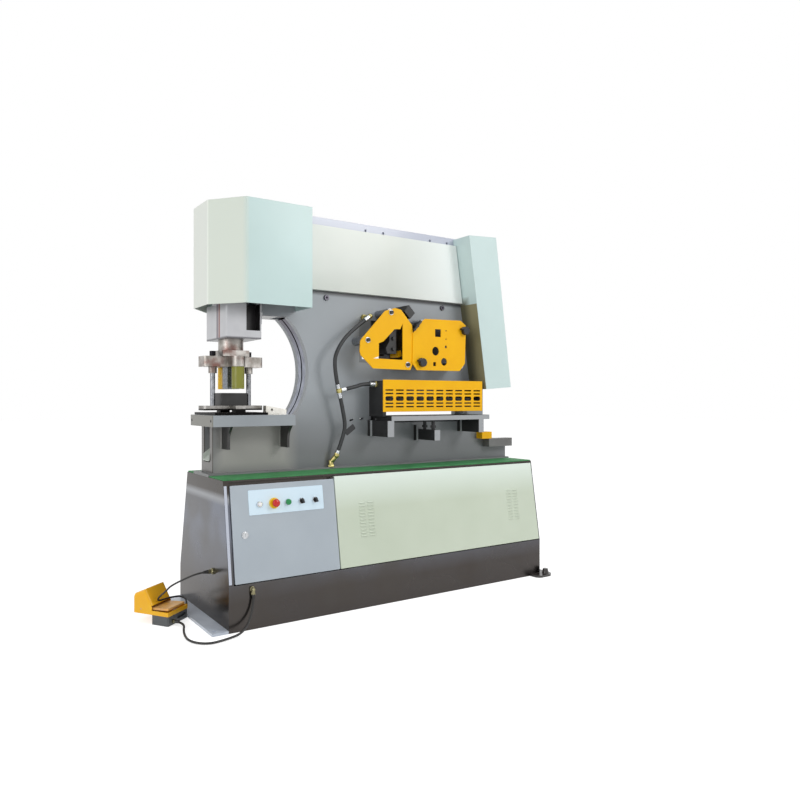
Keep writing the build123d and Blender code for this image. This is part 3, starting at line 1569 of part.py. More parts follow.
# Side view of the hood: sloping face, ridge and falling top; the air inside it.
hood_side = [
    (hood_v, pedal_base_high),
    (hood_v, face_low),
    (ridge_v, ridge_high),
    (pedal_deep, hood_rear_high),
    (pedal_deep, pedal_base_high),
]
hood_air = [
    (hood_v - 1, pedal_base_high + shell),
    (hood_v - 1, face_low - 2),
    (hood_v + 5, face_low - 2),
    (ridge_v + 1.5, ridge_high - shell - 1.5),
    (pedal_deep - shell, hood_rear_high - shell),
    (pedal_deep - shell, pedal_base_high + shell),
]

# Hood and tray of the foot switch: a hollow hood over the treadle hinge, open below its sloping face.
with BuildPart() as footswitch_hood:
    with BuildSketch(Plane(origin=on_pedal(0, 0, 0), x_dir=pedal_v, z_dir=pedal_u)):
        Polygon(*hood_side, align=None)
    extrude(amount=pedal_wide)
    fillet(footswitch_hood.edges().filter_by(Axis.Z, reverse=True).filter_by(
        lambda edge: edge.center().Z > face_low and abs(edge.tangent_at(0.5).dot(pedal_u)) < 0.5), hood_round)
    with BuildSketch(Plane(origin=on_pedal(shell, 0, 0), x_dir=pedal_v, z_dir=pedal_u)):
        Polygon(*hood_air, align=None)
    extrude(amount=pedal_wide - 2 * shell, mode=Mode.SUBTRACT)
    with BuildSketch(pedal_plane.offset(pedal_base_high)):
        with Locations((pedal_wide / 2, pedal_deep / 2)):
            Rectangle(pedal_wide, pedal_deep)
    extrude(amount=shell)
    with BuildSketch(pedal_plane.offset(pedal_base_high)):
        Rectangle(pedal_wide, hood_v, align=(Align.MIN, Align.MIN))
        with Locations((shell, shell)):
            Rectangle(pedal_wide - 2 * shell, hood_v, align=(Align.MIN, Align.MIN), mode=Mode.SUBTRACT)
    extrude(amount=tray_high)
    with BuildSketch(Plane(origin=on_pedal(-1, 0, 0), x_dir=pedal_v, z_dir=pedal_u)):
        with Locations(treadle_hinge):
            Circle(treadle_pin_r + fit)
    extrude(amount=pedal_wide + 2, mode=Mode.SUBTRACT)
footswitch_hood.part.label = "footswitch_hood"
export_step(footswitch_hood.part, "parts/footswitch_hood.step")

# Treadle on its hinge pin, raised at the front.
with BuildPart() as footswitch_treadle:
    with BuildSketch(Plane(origin=on_pedal(12, 0, 0), x_dir=pedal_v, z_dir=pedal_u)):
        Polygon((9, 65), (9, 74), (150, 66), (150, 58), align=None)
    extrude(amount=pedal_wide - 24)
    with BuildSketch(Plane(origin=on_pedal(0, 0, 0), x_dir=pedal_v, z_dir=pedal_u)):
        with Locations(treadle_hinge):
            Circle(treadle_pin_r)
    extrude(amount=pedal_wide)
footswitch_treadle.part.label = "footswitch_treadle"
export_step(footswitch_treadle.part, "parts/footswitch_treadle.step")

# Foot switch cable from the skirt over the floor.
with BuildPart() as pedal_cable_a:
    with BuildLine() as course:
        FilletPolyline(*cable_a_route, radius=bend_radii(cable_a_route))
    with BuildSketch(toward(cable_a_route[0], cable_a_route[1])):
        Circle(cable_r)
    sweep(path=course.wire())
pedal_cable_a.part.label = "pedal_cable_a"
export_step(pedal_cable_a.part, "parts/pedal_cable_a.step")

# Foot switch cable from the left end through the air.
with BuildPart() as pedal_cable_b:
    with BuildLine() as course:
        FilletPolyline(*cable_b_route, radius=bend_radii(cable_b_route))
    with BuildSketch(toward(cable_b_route[0], cable_b_route[1])):
        Circle(cable_b_r)
    sweep(path=course.wire())
pedal_cable_b.part.label = "pedal_cable_b"
export_step(pedal_cable_b.part, "parts/pedal_cable_b.step")

for cable_name, cable_route in (("floor cable", cable_a_route), ("air cable", cable_b_route)):
    print(cable_name, "bend radii, mm:", [round(radius, 1) for radius in bend_radii(cable_route)])
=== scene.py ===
from math import atan2, cos, pi, radians, sin

import bmesh
import bpy
from mathutils import Matrix, Vector


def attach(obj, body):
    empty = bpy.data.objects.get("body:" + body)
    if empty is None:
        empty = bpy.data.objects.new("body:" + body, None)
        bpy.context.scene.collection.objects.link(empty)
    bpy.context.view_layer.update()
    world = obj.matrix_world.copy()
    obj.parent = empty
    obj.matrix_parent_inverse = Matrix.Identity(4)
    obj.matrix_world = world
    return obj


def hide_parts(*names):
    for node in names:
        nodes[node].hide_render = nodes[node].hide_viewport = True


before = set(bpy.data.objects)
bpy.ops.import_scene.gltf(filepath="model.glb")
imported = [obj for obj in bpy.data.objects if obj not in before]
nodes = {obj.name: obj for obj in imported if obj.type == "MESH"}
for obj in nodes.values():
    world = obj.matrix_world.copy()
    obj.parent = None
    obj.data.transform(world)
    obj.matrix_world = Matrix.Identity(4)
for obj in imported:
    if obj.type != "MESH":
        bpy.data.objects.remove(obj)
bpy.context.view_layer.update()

# ---- places on the machine, in drawing millimetres ----

# Datum of the drawing: front left bottom corner of the base cabinet.
DATUM_X = -945
DATUM_Y = -310
# The sloping front starts at this height and runs back by RUN over RISE.
SLOPE_START = 200
SLOPE_RUN = 65
SLOPE_RISE = 445
SLOPE = atan2(SLOPE_RUN, SLOPE_RISE)
# Foot switch: its front left corner on the floor, and how far it is turned.
PEDAL_X = -194
PEDAL_Y = 217
PEDAL_TURN = radians(36)
# Front faces of the frame plate and of the angle and section guards.
PLATE_Y = 264.5
GUARD_Y = 154.5

ORIGIN = Vector((0, 0, 0))
UP = Vector((0, 0, 1))
FORWARD = Vector((0, -1, 0))
BACKWARD = Vector((0, 1, 0))
LEFTWARD = Vector((-1, 0, 0))
DOOR_OUT = Vector((0, -cos(SLOPE), sin(SLOPE)))


def at(x, y, z):
    """Drawing millimetres from the datum to metres in the machine's frame."""
    return Vector(((x + DATUM_X) / 1000, (y + DATUM_Y) / 1000, z / 1000))


DOOR_FACE = Matrix.Translation(at(0, 0, SLOPE_START)) @ Matrix.Rotation(pi / 2 - SLOPE, 4, "X")


def on_door(u, v, out=0.0):
    """Point on the sloping front: u from the left end, v up the slope, out from the face."""
    return DOOR_FACE @ Vector((u / 1000, v / 1000, out / 1000))


def up_slope(z):
    """Distance up the slope of a drawing height."""
    return (z - SLOPE_START) / cos(SLOPE)


def on_pedal(u, v, z):
    """Point of the foot switch: u along its front edge, v back from it."""
    x = PEDAL_X + u * cos(PEDAL_TURN) - v * sin(PEDAL_TURN)
    y = PEDAL_Y + u * sin(PEDAL_TURN) + v * cos(PEDAL_TURN)
    return at(x, y, z)


# ---- how materials are made; a pattern's scale is its number of clouds or grains in a metre ----

# Orange peel 3 mm wide and 0.4 mm high, coarser than the real 1 mm so that it shows.
PEEL_PER_METRE = 330.0
PEEL_HEIGHT = 0.0004
CLEAR_COAT_ROUGHNESS = 0.12
# Edge rounding in metres: sprayed sheet, machined or moulded pieces, folded stainless.
PAINT_EDGE = 0.0012
FINE_EDGE = 0.0008
FOLD_EDGE = 0.002
EDGE_SAMPLES = 4
# Rust clouds 60 mm wide, dust clouds 22 mm wide, and how much a metal's roughness varies.
RUST_PER_METRE = 16.0
DUST_PER_METRE = 45.0
METAL_GRAIN = 0.12


def linear(hex_colour):
    """sRGB hex to linear RGBA."""
    values = [int(hex_colour[i:i + 2], 16) / 255 for i in (1, 3, 5)]
    return [v / 12.92 if v <= 0.04045 else ((v + 0.055) / 1.055) ** 2.4 for v in values] + [1.0]


def add(tree, kind, links=None, **settings):
    """One node, its settings, and the sockets or values that feed it."""
    node = tree.nodes.new(kind)
    for key, value in settings.items():
        setattr(node, key, value)
    for socket, source in (links or {}).items():
        if isinstance(source, bpy.types.NodeSocket):
            tree.links.new(source, node.inputs[socket])
        else:
            node.inputs[socket].default_value = source
    return node


def blank(name):
    """New material: its tree, its shader and the place on the piece that patterns follow."""
    material = bpy.data.materials.new(name)
    material.use_nodes = True
    tree = material.node_tree
    tree.nodes.clear()
    shader = add(tree, "ShaderNodeBsdfPrincipled")
    add(tree, "ShaderNodeOutputMaterial", {"Surface": shader.outputs[0]})
    place = add(tree, "ShaderNodeTexCoord").outputs["Object"]
    return material, tree, shader, place


def blended(tree, share, colour, other):
    """One colour over another by a share from 0 to 1."""
    return add(tree, "ShaderNodeMix", {0: share, 6: colour, 7: other}, data_type="RGBA").outputs[2]


def mottled(tree, place, light, dark, per_metre, spread=0.5, detail=3.0):
    """Two shades of one colour in soft clouds."""
    cloud = add(tree, "ShaderNodeTexNoise", {"Vector": place, "Scale": per_metre,
                                             "Detail": detail})
    share = add(tree, "ShaderNodeMapRange", {"Value": cloud.outputs[0],
                                             "From Min": 0.5 - spread / 2,
                                             "From Max": 0.5 + spread / 2})
    return blended(tree, share.outputs[0], linear(dark), linear(light))


def faded(tree, place, colour, other, axis, start, end):
    """Blends one colour into another along an axis, between two distances in metres."""
    axes = add(tree, "ShaderNodeSeparateXYZ", {"Vector": place})
    share = add(tree, "ShaderNodeMapRange", {"Value": axes.outputs[axis], "From Min": start,
                                             "From Max": end})
    return blended(tree, share.outputs[0], colour, linear(other))


def zoned(tree, place, colour, other, low, high, soft):
    """Another colour in a box between two drawing points, soft for some millimetres outside."""
    middle = (at(*low) + at(*high)) / 2
    reach = (at(*high) - at(*low)) / 2
    off = add(tree, "ShaderNodeVectorMath", {0: place, 1: middle}, operation="SUBTRACT")
    far = add(tree, "ShaderNodeVectorMath", {0: off.outputs[0]}, operation="ABSOLUTE")
    past = add(tree, "ShaderNodeVectorMath", {0: far.outputs[0], 1: reach}, operation="SUBTRACT")
    axes = add(tree, "ShaderNodeSeparateXYZ", {"Vector": past.outputs[0]})
    wide = add(tree, "ShaderNodeMath", {0: axes.outputs[0], 1: axes.outputs[1]},
               operation="MAXIMUM")
    widest = add(tree, "ShaderNodeMath", {0: wide.outputs[0], 1: axes.outputs[2]},
                 operation="MAXIMUM")
    share = add(tree, "ShaderNodeMapRange", {"Value": widest.outputs[0], "From Max": soft / 1000,
                                             "To Min": 1.0, "To Max": 0.0})
    return blended(tree, share.outputs[0], colour, linear(other))


def shaded(tree, place, colour, fades, zones=()):
    """A colour with all its fades, then all its zones."""
    for fade in fades:
        colour = faded(tree, place, colour, *fade)
    for zone in zones:
        colour = zoned(tree, place, colour, *zone)
    return colour


def paint(name, light, dark, roughness, peel=0.06, coat=0.0, clouds=2.5, gloss=0.5, fades=(),
          zones=()):
    """Sprayed enamel on sheet or plate: even colour, faint orange peel, rounded paint edges."""
    material, tree, shader, place = blank(name)
    colour = mottled(tree, place, light, dark, clouds)
    tree.links.new(shaded(tree, place, colour, fades, zones), shader.inputs["Base Color"])
    shader.inputs["Specular IOR Level"].default_value = gloss
    shader.inputs["Roughness"].default_value = roughness
    shader.inputs["Coat Weight"].default_value = coat
    shader.inputs["Coat Roughness"].default_value = CLEAR_COAT_ROUGHNESS
    grains = add(tree, "ShaderNodeTexNoise", {"Vector": place, "Scale": PEEL_PER_METRE,
                                              "Detail": 1.0})
    edge = add(tree, "ShaderNodeBevel", {"Radius": PAINT_EDGE}, samples=EDGE_SAMPLES)
    bump = add(tree, "ShaderNodeBump", {"Strength": peel, "Distance": PEEL_HEIGHT,
                                        "Height": grains.outputs[0], "Normal": edge.outputs[0]})
    tree.links.new(bump.outputs[0], shader.inputs["Normal"])
    return material


def bare_metal(name, light, dark, roughness, streaks=(1, 1, 1), per_metre=60.0, rust=None,
               fades=()):
    """Machined or brushed metal; streaks stretches its grain, rust clouds its faces."""
    material, tree, shader, place = blank(name)
    stretch = add(tree, "ShaderNodeMapping", {"Vector": place, "Scale": streaks})
    colour = mottled(tree, stretch.outputs[0], light, dark, per_metre, spread=0.4)
    if rust:
        cloud = add(tree, "ShaderNodeTexNoise", {"Vector": place, "Scale": RUST_PER_METRE,
                                                 "Detail": 4.0})
        share = add(tree, "ShaderNodeMapRange", {"Value": cloud.outputs[0], "From Min": 0.50,
                                                 "From Max": 0.68, "To Max": 0.8})
        colour = blended(tree, share.outputs[0], colour, linear(rust))
    tree.links.new(shaded(tree, place, colour, fades), shader.inputs["Base Color"])
    shader.inputs["Metallic"].default_value = 1.0
    grains = add(tree, "ShaderNodeTexNoise", {"Vector": stretch.outputs[0],
                                              "Scale": per_metre * 3, "Detail": 2.0})
    rough = add(tree, "ShaderNodeMapRange", {"Value": grains.outputs[0],
                                             "To Min": roughness - METAL_GRAIN / 2,
                                             "To Max": roughness + METAL_GRAIN})
    tree.links.new(rough.outputs[0], shader.inputs["Roughness"])
    edge = add(tree, "ShaderNodeBevel", {"Radius": FINE_EDGE}, samples=EDGE_SAMPLES)
    tree.links.new(edge.outputs[0], shader.inputs["Normal"])
    return material


def plastic(name, colour, roughness, subsurface=0.0, transmission=0.0, fades=()):
    """Moulded plastic or rubber: even colour with a faint dusty cloud, rounded edges."""
    material, tree, shader, place = blank(name)
    dust = add(tree, "ShaderNodeTexNoise", {"Vector": place, "Scale": DUST_PER_METRE,
                                            "Detail": 2.0})
    level = add(tree, "ShaderNodeMapRange", {"Value": dust.outputs[0], "To Min": 0.88,
                                             "To Max": 1.12})
    tone = add(tree, "ShaderNodeHueSaturation", {"Color": linear(colour),
                                                 "Value": level.outputs[0]})
    tree.links.new(shaded(tree, place, tone.outputs[0], fades), shader.inputs["Base Color"])
    shader.inputs["Roughness"].default_value = roughness
    shader.inputs["Subsurface Weight"].default_value = subsurface
    shader.inputs["Subsurface Radius"].default_value = (0.02, 0.015, 0.004)
    shader.inputs["Transmission Weight"].default_value = transmission
    edge = add(tree, "ShaderNodeBevel", {"Radius": FINE_EDGE}, samples=EDGE_SAMPLES)
    tree.links.new(edge.outputs[0], shader.inputs["Normal"])
    return material


# ---- sheet metal finishes ----

# Large cover: pale mint with a soft sheen, its left faces painted lighter as painted light, and
# painted near black inside as painted shade.
cover_coat = paint(
    "powder coat, pale mint", "#C4DCDA", "#BCD4D1", 0.38, coat=0.15,
    fades=[("#D2DBCF", "X", -0.80, -0.83), ("#E7ECE4", "X", -0.942, -0.945)],
    zones=[("#1D1C1C", (160, 99.6, 1400), (466, 564.4, 1912), 0.3)])
# Inclined cover: the same coat, with a painted olive reflection of the yellow guard and painted
# shade low on its left side.
side_coat = paint(
    "powder coat, pale mint, olive shade low on its left side", "#D0E4E2", "#C8DCDA", 0.38,
    coat=0.15, zones=[("#98906C", (1480, 134.5, 1060), (1680, 300, 1540), 1.5),
                      ("#5F5C42", (1480, 235, 1060), (1680, 300, 1540), 50)])
# Upper panel: ivory grey, smoother, painted whiter to the right as a painted sheen.
upper_coat = paint("powder coat, ivory grey", "#D5DAD2", "#C9D0C8", 0.34, coat=0.2,
                   fades=[("#F4FAF8", "X", 0.1, 0.6)])
# Front panel: pale sage, painted lighter along its top as painted light from above.
panel_coat = paint("powder coat, pale sage", "#CED8C6", "#C4CFBB", 0.40, coat=0.1,
                   fades=[("#E2EEE4", "Z", 0.47, 0.62)])
# Electrical door: blue grey, the glossiest of the sheets.
door_coat = paint("enamel, blue grey", "#B4BEC6", "#A5AFB8", 0.32, coat=0.25)
# Control plate: cold white with a silky face and no peel.
white_plate = paint("anodised control plate", "#DFF3FF", "#D7EDFB", 0.35, peel=0.0)
# Slug chute and board: dry off white.
pale_enamel = paint("enamel, off white", "#D5DBD4", "#C3CAC2", 0.42)

# ---- enamel on plate and castings ----

# Frame plates: mid grey with a satin sheen, painted darker low down above the mat as painted
# shade.
# The zones are the pale top edge, a painted shadow under the upper panel, a paler patch below the
# table, painted shade on the left edge below the table and on the underside above the throat, and
# painted black shade behind the guards.
frame_enamel = paint(
    "machinery enamel, mid grey", "#A2A8AD", "#90969B", 0.33, peel=0.1, coat=0.3, clouds=1.6,
    fades=[("#737578", "Z", 1.05, 0.74)],
    zones=[("#B7BCCB", (470, 255, 1879), (1640, 300, 1930), 2),
           ("#4E5054", (560, 255, 1540), (1560, 300, 1556), 14),
           ("#9C9A96", (90, 255, 700), (400, 300, 870), 90),
           ("#5E5B58", (26, 255, 660), (34, 410, 880), 2),
           ("#2A2929", (20, 255, 1400), (420, 410, 1405.5), 1),
           ("#1B1B1C", (975, 255, 1190), (1530, 300, 1420), 22)])
# Punching table: the same enamel, darker on its left edge, with painted shade in its two screw
# holes and a painted shadow below it.
table_enamel = paint(
    "machinery enamel on the punch table", "#9CA3A8", "#8C9398", 0.33, peel=0.1, coat=0.3,
    clouds=4.0, zones=[("#73726A", (-22, 100, 872), (-15, 500, 930), 1),
                       ("#171616", (-24, 154, 897), (-14, 166, 909), 1),
                       ("#171616", (-24, 396, 897), (-14, 408, 909), 1),
                       ("#1F1E1E", (60, 100, 760), (410, 600, 876), 1)])
# Punch head: light grey, with painted red brown and purple reflection streaks down its left side,
# painted shade along its bottom edge and painted black shade in the recess behind the window.
head_enamel = paint(
    "machinery enamel on the punch head", "#D2D3D6", "#C1C2C6", 0.36, peel=0.3, coat=0.2,
    clouds=9.0, zones=[("#87504D", (70, 287, 1290), (80, 297, 1460), 8),
                       ("#6B5F6B", (70, 312, 1285), (80, 320, 1460), 10),
                       ("#55545A", (60, 200, 1280), (270, 460, 1287), 8),
                       ("#151315", (175, 213, 1322), (251, 265, 1460), 1)])
# Castings: dark grey over a rough skin, with a broken sheen.
casting_enamel = paint("machinery enamel on a casting", "#6E6E6D", "#5C5A59", 0.36, peel=0.35,
                       coat=0.25, clouds=9.0)
# Beam and hold-down housing: near black and dull.
dark_enamel = paint("machinery enamel, near black", "#333334", "#242425", 0.45, peel=0.3,
                    clouds=9.0, gloss=0.3)
# Brackets and shear table: near black enamel whose dark sides stand in for painted shade, with
# pale front faces painted as lit.
bracket_enamel = paint(
    "near black enamel with painted lit front faces", "#333334", "#232324", 0.45, peel=0.3, clouds=9.0,
    gloss=0.3, zones=[("#A3A6A9", (880, 97, 770), (1640, 100.6, 940), 0.6),
                      ("#A3A6A9", (880, 238, 770), (1640, 241, 900), 0.6)])
# Foot strip of the frame: grey under workshop dust, without gloss.
foot_enamel = paint("machinery enamel, dusty grey", "#86888A", "#737574", 0.45, peel=0.2,
                    clouds=6.0)
# Guards: strong warm yellow, kept from glaring.
guard_enamel = paint("enamel, signal yellow", "#FCC004", "#F4B302", 0.38, coat=0.08, clouds=6.0,
                     gloss=0.2)
# Foot switch hood: a warmer yellow with a wet shine.
pedal_yellow = paint("enamel on the pedal hood", "#FFC42A", "#FCB61C", 0.33, coat=0.15,
                     clouds=8.0, gloss=0.3)
# Treadle: the same enamel, worn to a dusty silver where the foot rests.
treadle_yellow = paint("enamel on the treadle, worn", "#FDB82E", "#E3B98A", 0.4, peel=0.2,
                       clouds=14.0)
# Foot flange: silver, with black lugs at its right end.
flange_enamel = paint(
    "silver enamel on flat bar, black right lugs", "#D2DAE5", "#B4BDCB", 0.3, coat=0.3,
    clouds=9.0, zones=[("#2B2725", (1800, -100, -5), (2100, 800, 80), 5)])
# Screws, die and small steel parts: soft black with a faint sheen.
black_oxide = paint("black oxide on steel", "#242323", "#181717", 0.42, peel=0.2, clouds=20.0)
# Fixed blades: grey bolted edge left of the guard, painted black as painted shade where the
# guards cover them.
blade_finish = paint(
    "blade block, grey and oiled black", "#858A8E", "#767A7F", 0.4, clouds=6.0,
    zones=[("#1C1C1D", (930, 200, 1100), (1560, 500, 1460), 10),
           ("#1C1C1D", (880, 200, 860), (1680, 500, 960), 5)])

# ---- rubber and plastic ----

# Top mat: matt grass green with a rubbery skin.
mat_rubber = paint("ribbed rubber mat, green", "#3F9355", "#2F7A44", 0.6, peel=0.5, clouds=12.0)
# Hoses: black, with the fine print of the wrapping.
hose_rubber = paint("wrapped hose rubber", "#2C2E30", "#1D1F20", 0.48, peel=0.5, clouds=30.0)
# Button heads: saturated colour with a tight highlight.
button_red = plastic("moulded red plastic", "#C81A18", 0.25)
button_green = plastic("moulded green plastic", "#17884A", 0.25)
collar_yellow = plastic("moulded yellow plastic", "#F0C31A", 0.35)
# Knobs, selectors and tag: black with a soft highlight.
moulded_black = plastic("moulded black plastic", "#1C1D20", 0.35)
# Lamp: milky white that lets light in.
lamp_white = plastic("frosted lamp lens", "#F2F5F4", 0.2, subsurface=0.3)
# Foot switch base: dull dark grey.
pedal_grey = plastic("glass filled grey plastic", "#56595B", 0.5)
# Pedal cables and boots: black with a slight sheen.
cable_black = plastic("black cable sheath", "#1B1A19", 0.45)
# Springs: amber behind, painted olive in front as painted shade.
spring_yellow = plastic("cast polyurethane, amber, with painted olive shade in front", "#F2C400", 0.22, subsurface=0.35,
                        transmission=0.1, fades=[("#8F9030", "Y", 0.05, -0.02)])

# ---- bare metals ----

# Throat lining: bright milled bands, painted darker toward the top of the throat as painted shade.
machined_steel = bare_metal("milled steel", "#A9AEBB", "#70737C", 0.28, (1, 5, 1), per_metre=22.0,
                            fades=[("#5B5860", "Z", 1.16, 1.40)])
# Bezels, crimps and rods: bright, with a sharp reflection.
ground_steel = bare_metal("ground bright steel", "#D4D6D8", "#B9BCBF", 0.18, (1, 1, 0.2))
# Die set pillars: bright shafts under black heads.
pillar_steel = bare_metal("ground pillar, black head", "#A2A4A8", "#73757A", 0.24,
                          fades=[("#232225", "Z", 1.165, 1.17)])
# Stop bar: pale and dry.
pale_steel = bare_metal("stop bar steel, pale", "#E2E0DA", "#C4C0B6", 0.4, per_metre=20.0)
# Ram and upper shoe: oily grey with red brown clouds on faces that are never ground.
rusty_steel = bare_metal("die set steel with rust", "#BDB9B4", "#7E7973", 0.36, per_metre=25.0,
                         rust="#6A4138")
# Lower shoe: grey steel on a black saddle.
shoe_steel = bare_metal("lower shoe, black saddle", "#A9A7A4", "#77736E", 0.36, per_metre=25.0,
                        fades=[("#191818", "Z", 0.958, 0.955)])
# Punch block: blued steel with 6 mm specks.
block_steel = bare_metal("blued steel, speckled", "#9AA0A6", "#565B61", 0.38, per_metre=160.0)
# Elbows and tee: zinc with a yellow tinge.
zinc_plate = bare_metal("yellow zinc plate", "#C7B978", "#9C9462", 0.30, per_metre=90.0)
# Guard spacers: turned grey bar.
post_steel = bare_metal("turned bar", "#B4B6BA", "#86888C", 0.28, per_metre=120.0)
# Cable glands: warm nickel.
gland_brass = bare_metal("nickel plated brass", "#A9A382", "#6F6A50", 0.3, per_metre=80.0)


def cabinet_steel():
    """Satin stainless: brushed along the sheet, with painted bluish reflection clouds at mid
    height and a painted brown reflection low down.
    """
    material, tree, shader, place = blank("brushed stainless sheet")
    stretch = add(tree, "ShaderNodeMapping", {"Vector": place, "Scale": (1.0, 1.0, 40.0)})
    brushed = mottled(tree, stretch.outputs[0], "#626367", "#58585A", 14.0, spread=0.6,
                      detail=4.0)
    # Painted reflections of the workshop stand on the sheet as clouds 300 mm wide.
    cloudy = add(tree, "ShaderNodeTexNoise", {"Vector": place, "Scale": 3.2, "Detail": 2.0})
    bluish = add(tree, "ShaderNodeMapRange", {"Value": cloudy.outputs[0], "From Min": 0.42,
                                              "From Max": 0.62, "To Min": 0.0, "To Max": 0.5})
    blued = blended(tree, bluish.outputs[0], brushed, linear("#7C8394"))
    axes = add(tree, "ShaderNodeSeparateXYZ", {"Vector": place})
    low = add(tree, "ShaderNodeMapRange", {"Value": axes.outputs["Z"], "From Min": 0.12,
                                           "From Max": 0.42, "To Min": 1.7, "To Max": 0.0})
    uneven = add(tree, "ShaderNodeMapRange", {"Value": cloudy.outputs[0], "To Min": 0.42,
                                              "To Max": 0.62})
    brown = add(tree, "ShaderNodeMath", {0: low.outputs[0], 1: uneven.outputs[0]},
                operation="MULTIPLY", use_clamp=True)
    browned = blended(tree, brown.outputs[0], blued, linear("#423D39"))
    # A painted pale reflection band and a painted dark one under the top edge, and a painted
    # highlight on the folded edge on the left.
    shade = shaded(tree, place, browned,
                   [("#8D8F93", "Z", 0.535, 0.56), ("#46423F", "Z", 0.565, 0.59)],
                   [("#B7BCC8", (3, -5, 207), (15, 70, 622), 1.2)])
    tree.links.new(shade, shader.inputs["Base Color"])
    shader.inputs["Metallic"].default_value = 1.0
    rough = add(tree, "ShaderNodeMapRange", {"Value": cloudy.outputs[0], "To Min": 0.16,
                                             "To Max": 0.36})
    tree.links.new(rough.outputs[0], shader.inputs["Roughness"])
    edge = add(tree, "ShaderNodeBevel", {"Radius": FOLD_EDGE}, samples=EDGE_SAMPLES)
    tree.links.new(edge.outputs[0], shader.inputs["Normal"])
    return material


finishes = {
    "base_cabinet": cabinet_steel(),
    "foot_flanges": flange_enamel,
    "frame_foot": foot_enamel,
    "top_mat": mat_rubber,
    "front_panel": panel_coat,
    "control_door": door_coat,
    "control_plate": white_plate,
    "lamp_and_bezels": moulded_black,
    "estop_collar": collar_yellow,
    "estop_button": button_red,
    "start_button": button_green,
    "selector_left": moulded_black,
    "selector_right": moulded_black,
    "door_lock": ground_steel,
    "electrical_board": pale_enamel,
    "power_pack": frame_enamel,
    "frame_front_plate": frame_enamel,
    "frame_rear_plate": frame_enamel,
    "frame_spacers": frame_enamel,
    "throat_liner": machined_steel,
    "slug_chute": pale_enamel,
    "punch_cylinder": head_enamel,
    "punch_ram": rusty_steel,
    "punch_cover": cover_coat,
    "upper_shoe": rusty_steel,
    "guide_pillars": pillar_steel,
    "stripper_springs": spring_yellow,
    "punch_block": block_steel,
    "die_block": black_oxide,
    "die_holder": shoe_steel,
    "punch_table": table_enamel,
    "stop_bar": pale_steel,
    "upper_panels": upper_coat,
    "shear_cylinder": casting_enamel,
    "shear_rod": ground_steel,
    "shear_cover": side_coat,
    "shear_beam": dark_enamel,
    "beam_pin": black_oxide,
    "moving_blades": black_oxide,
    "fixed_blades": blade_finish,
    "angle_guard": guard_enamel,
    "section_guard": guard_enamel,
    "guard_posts": casting_enamel,
    "holddown_screw": black_oxide,
    "clamp_knob_upper": moulded_black,
    "clamp_knob_lower": moulded_black,
    "holddown_housing": dark_enamel,
    "holddown_bar": black_oxide,
    "shear_guard": guard_enamel,
    "shear_table": bracket_enamel,
    "support_brackets": bracket_enamel,
    "notcher_block": casting_enamel,
    "notcher_guard": guard_enamel,
    "hydraulic_hoses": hose_rubber,
    "fittings": zinc_plate,
    "footswitch_base": pedal_grey,
    "footswitch_hood": pedal_yellow,
    "footswitch_treadle": treadle_yellow,
}
for node_name, finish in finishes.items():
    for place_slot in nodes[node_name].material_slots:
        place_slot.material = finish

# ---- how pieces are shaped: each shape below is a function that draws into a mesh ----

# Faces that meet at more than this angle keep a sharp edge between them.
SHARP_ANGLE = radians(35)
BAR_CHAMFER = 1.5
POINTS_TO_A_LOBE = 8


def shown(thing):
    """Adds an object to the scene."""
    bpy.context.scene.collection.objects.link(thing)
    return thing


def joined(name, data, material, body, node=None):
    """A finished mesh or curve joins the machine on a body, in place of a node if one is named."""
    data.materials.clear()
    data.materials.append(material)
    thing = shown(bpy.data.objects.new(name, data))
    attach(thing, body)
    if node:
        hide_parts(node)
    return thing


def made(name, shapes):
    """Builds one mesh from a list of shapes, faces out, smooth between its sharp edges."""
    form = bmesh.new()
    for draw in shapes:
        draw(form)
    bmesh.ops.recalc_face_normals(form, faces=form.faces)
    mesh = bpy.data.meshes.new(name)
    form.to_mesh(mesh)
    form.free()
    mesh.shade_smooth()
    mesh.set_sharp_from_angle(angle=SHARP_ANGLE)
    return mesh


def piece(name, shapes, material, body, node=None):
    """One piece made of shapes."""
    joined(name, made(name, shapes), material, body, node)


def standing(spot, out, roll=0.0):
    """Matrix that puts local Z along out, from spot, with a turn about it."""
    facing = Vector(out).to_track_quat("Z", "Y").to_matrix().to_4x4()
    return Matrix.Translation(spot) @ facing @ Matrix.Rotation(roll, 4, "Z")


def polar(radius, angle, height):
    """Point round the axis of a shape, from millimetres."""
    return Vector((radius / 1000 * cos(angle), radius / 1000 * sin(angle), height / 1000))


def skin(form, rings):
    """Closes a shape over rings of points; a ring of one point is a tip."""
    for below, above in zip(rings, rings[1:]):
        around = max(len(below), len(above))
        for step in range(around):
            after = (step + 1) % around
            corners = (below[step % len(below)], below[after % len(below)],
                       above[after % len(above)], above[step % len(above)])
            form.faces.new(list(dict.fromkeys(corners)))
    for ring in (rings[0], rings[-1]):
        if len(ring) > 1:
            form.faces.new(ring)


def turned(spot, out, profile, sides=32, roll=0.0):
    """Turns (radius, height) pairs about the line from spot along out; radius 0 closes it."""
    def draw(form):
        matrix = standing(spot, out, roll)
        skin(form, [[form.verts.new(matrix @ polar(radius, 2 * pi * step / sides, height))
                     for step in range(sides if radius else 1)] for radius, height in profile])
    return draw


def bar(radius, long):
    """Profile of a round bar with a chamfered end."""
    return [(radius, 0), (radius, long - BAR_CHAMFER), (radius - BAR_CHAMFER, long)]


def nut(radius, high, edge, edge_high):
    """Profile of a nut or hexagon head with a chamfered face."""
    return [(radius, 0), (radius, high - edge_high), (radius - edge, high)]


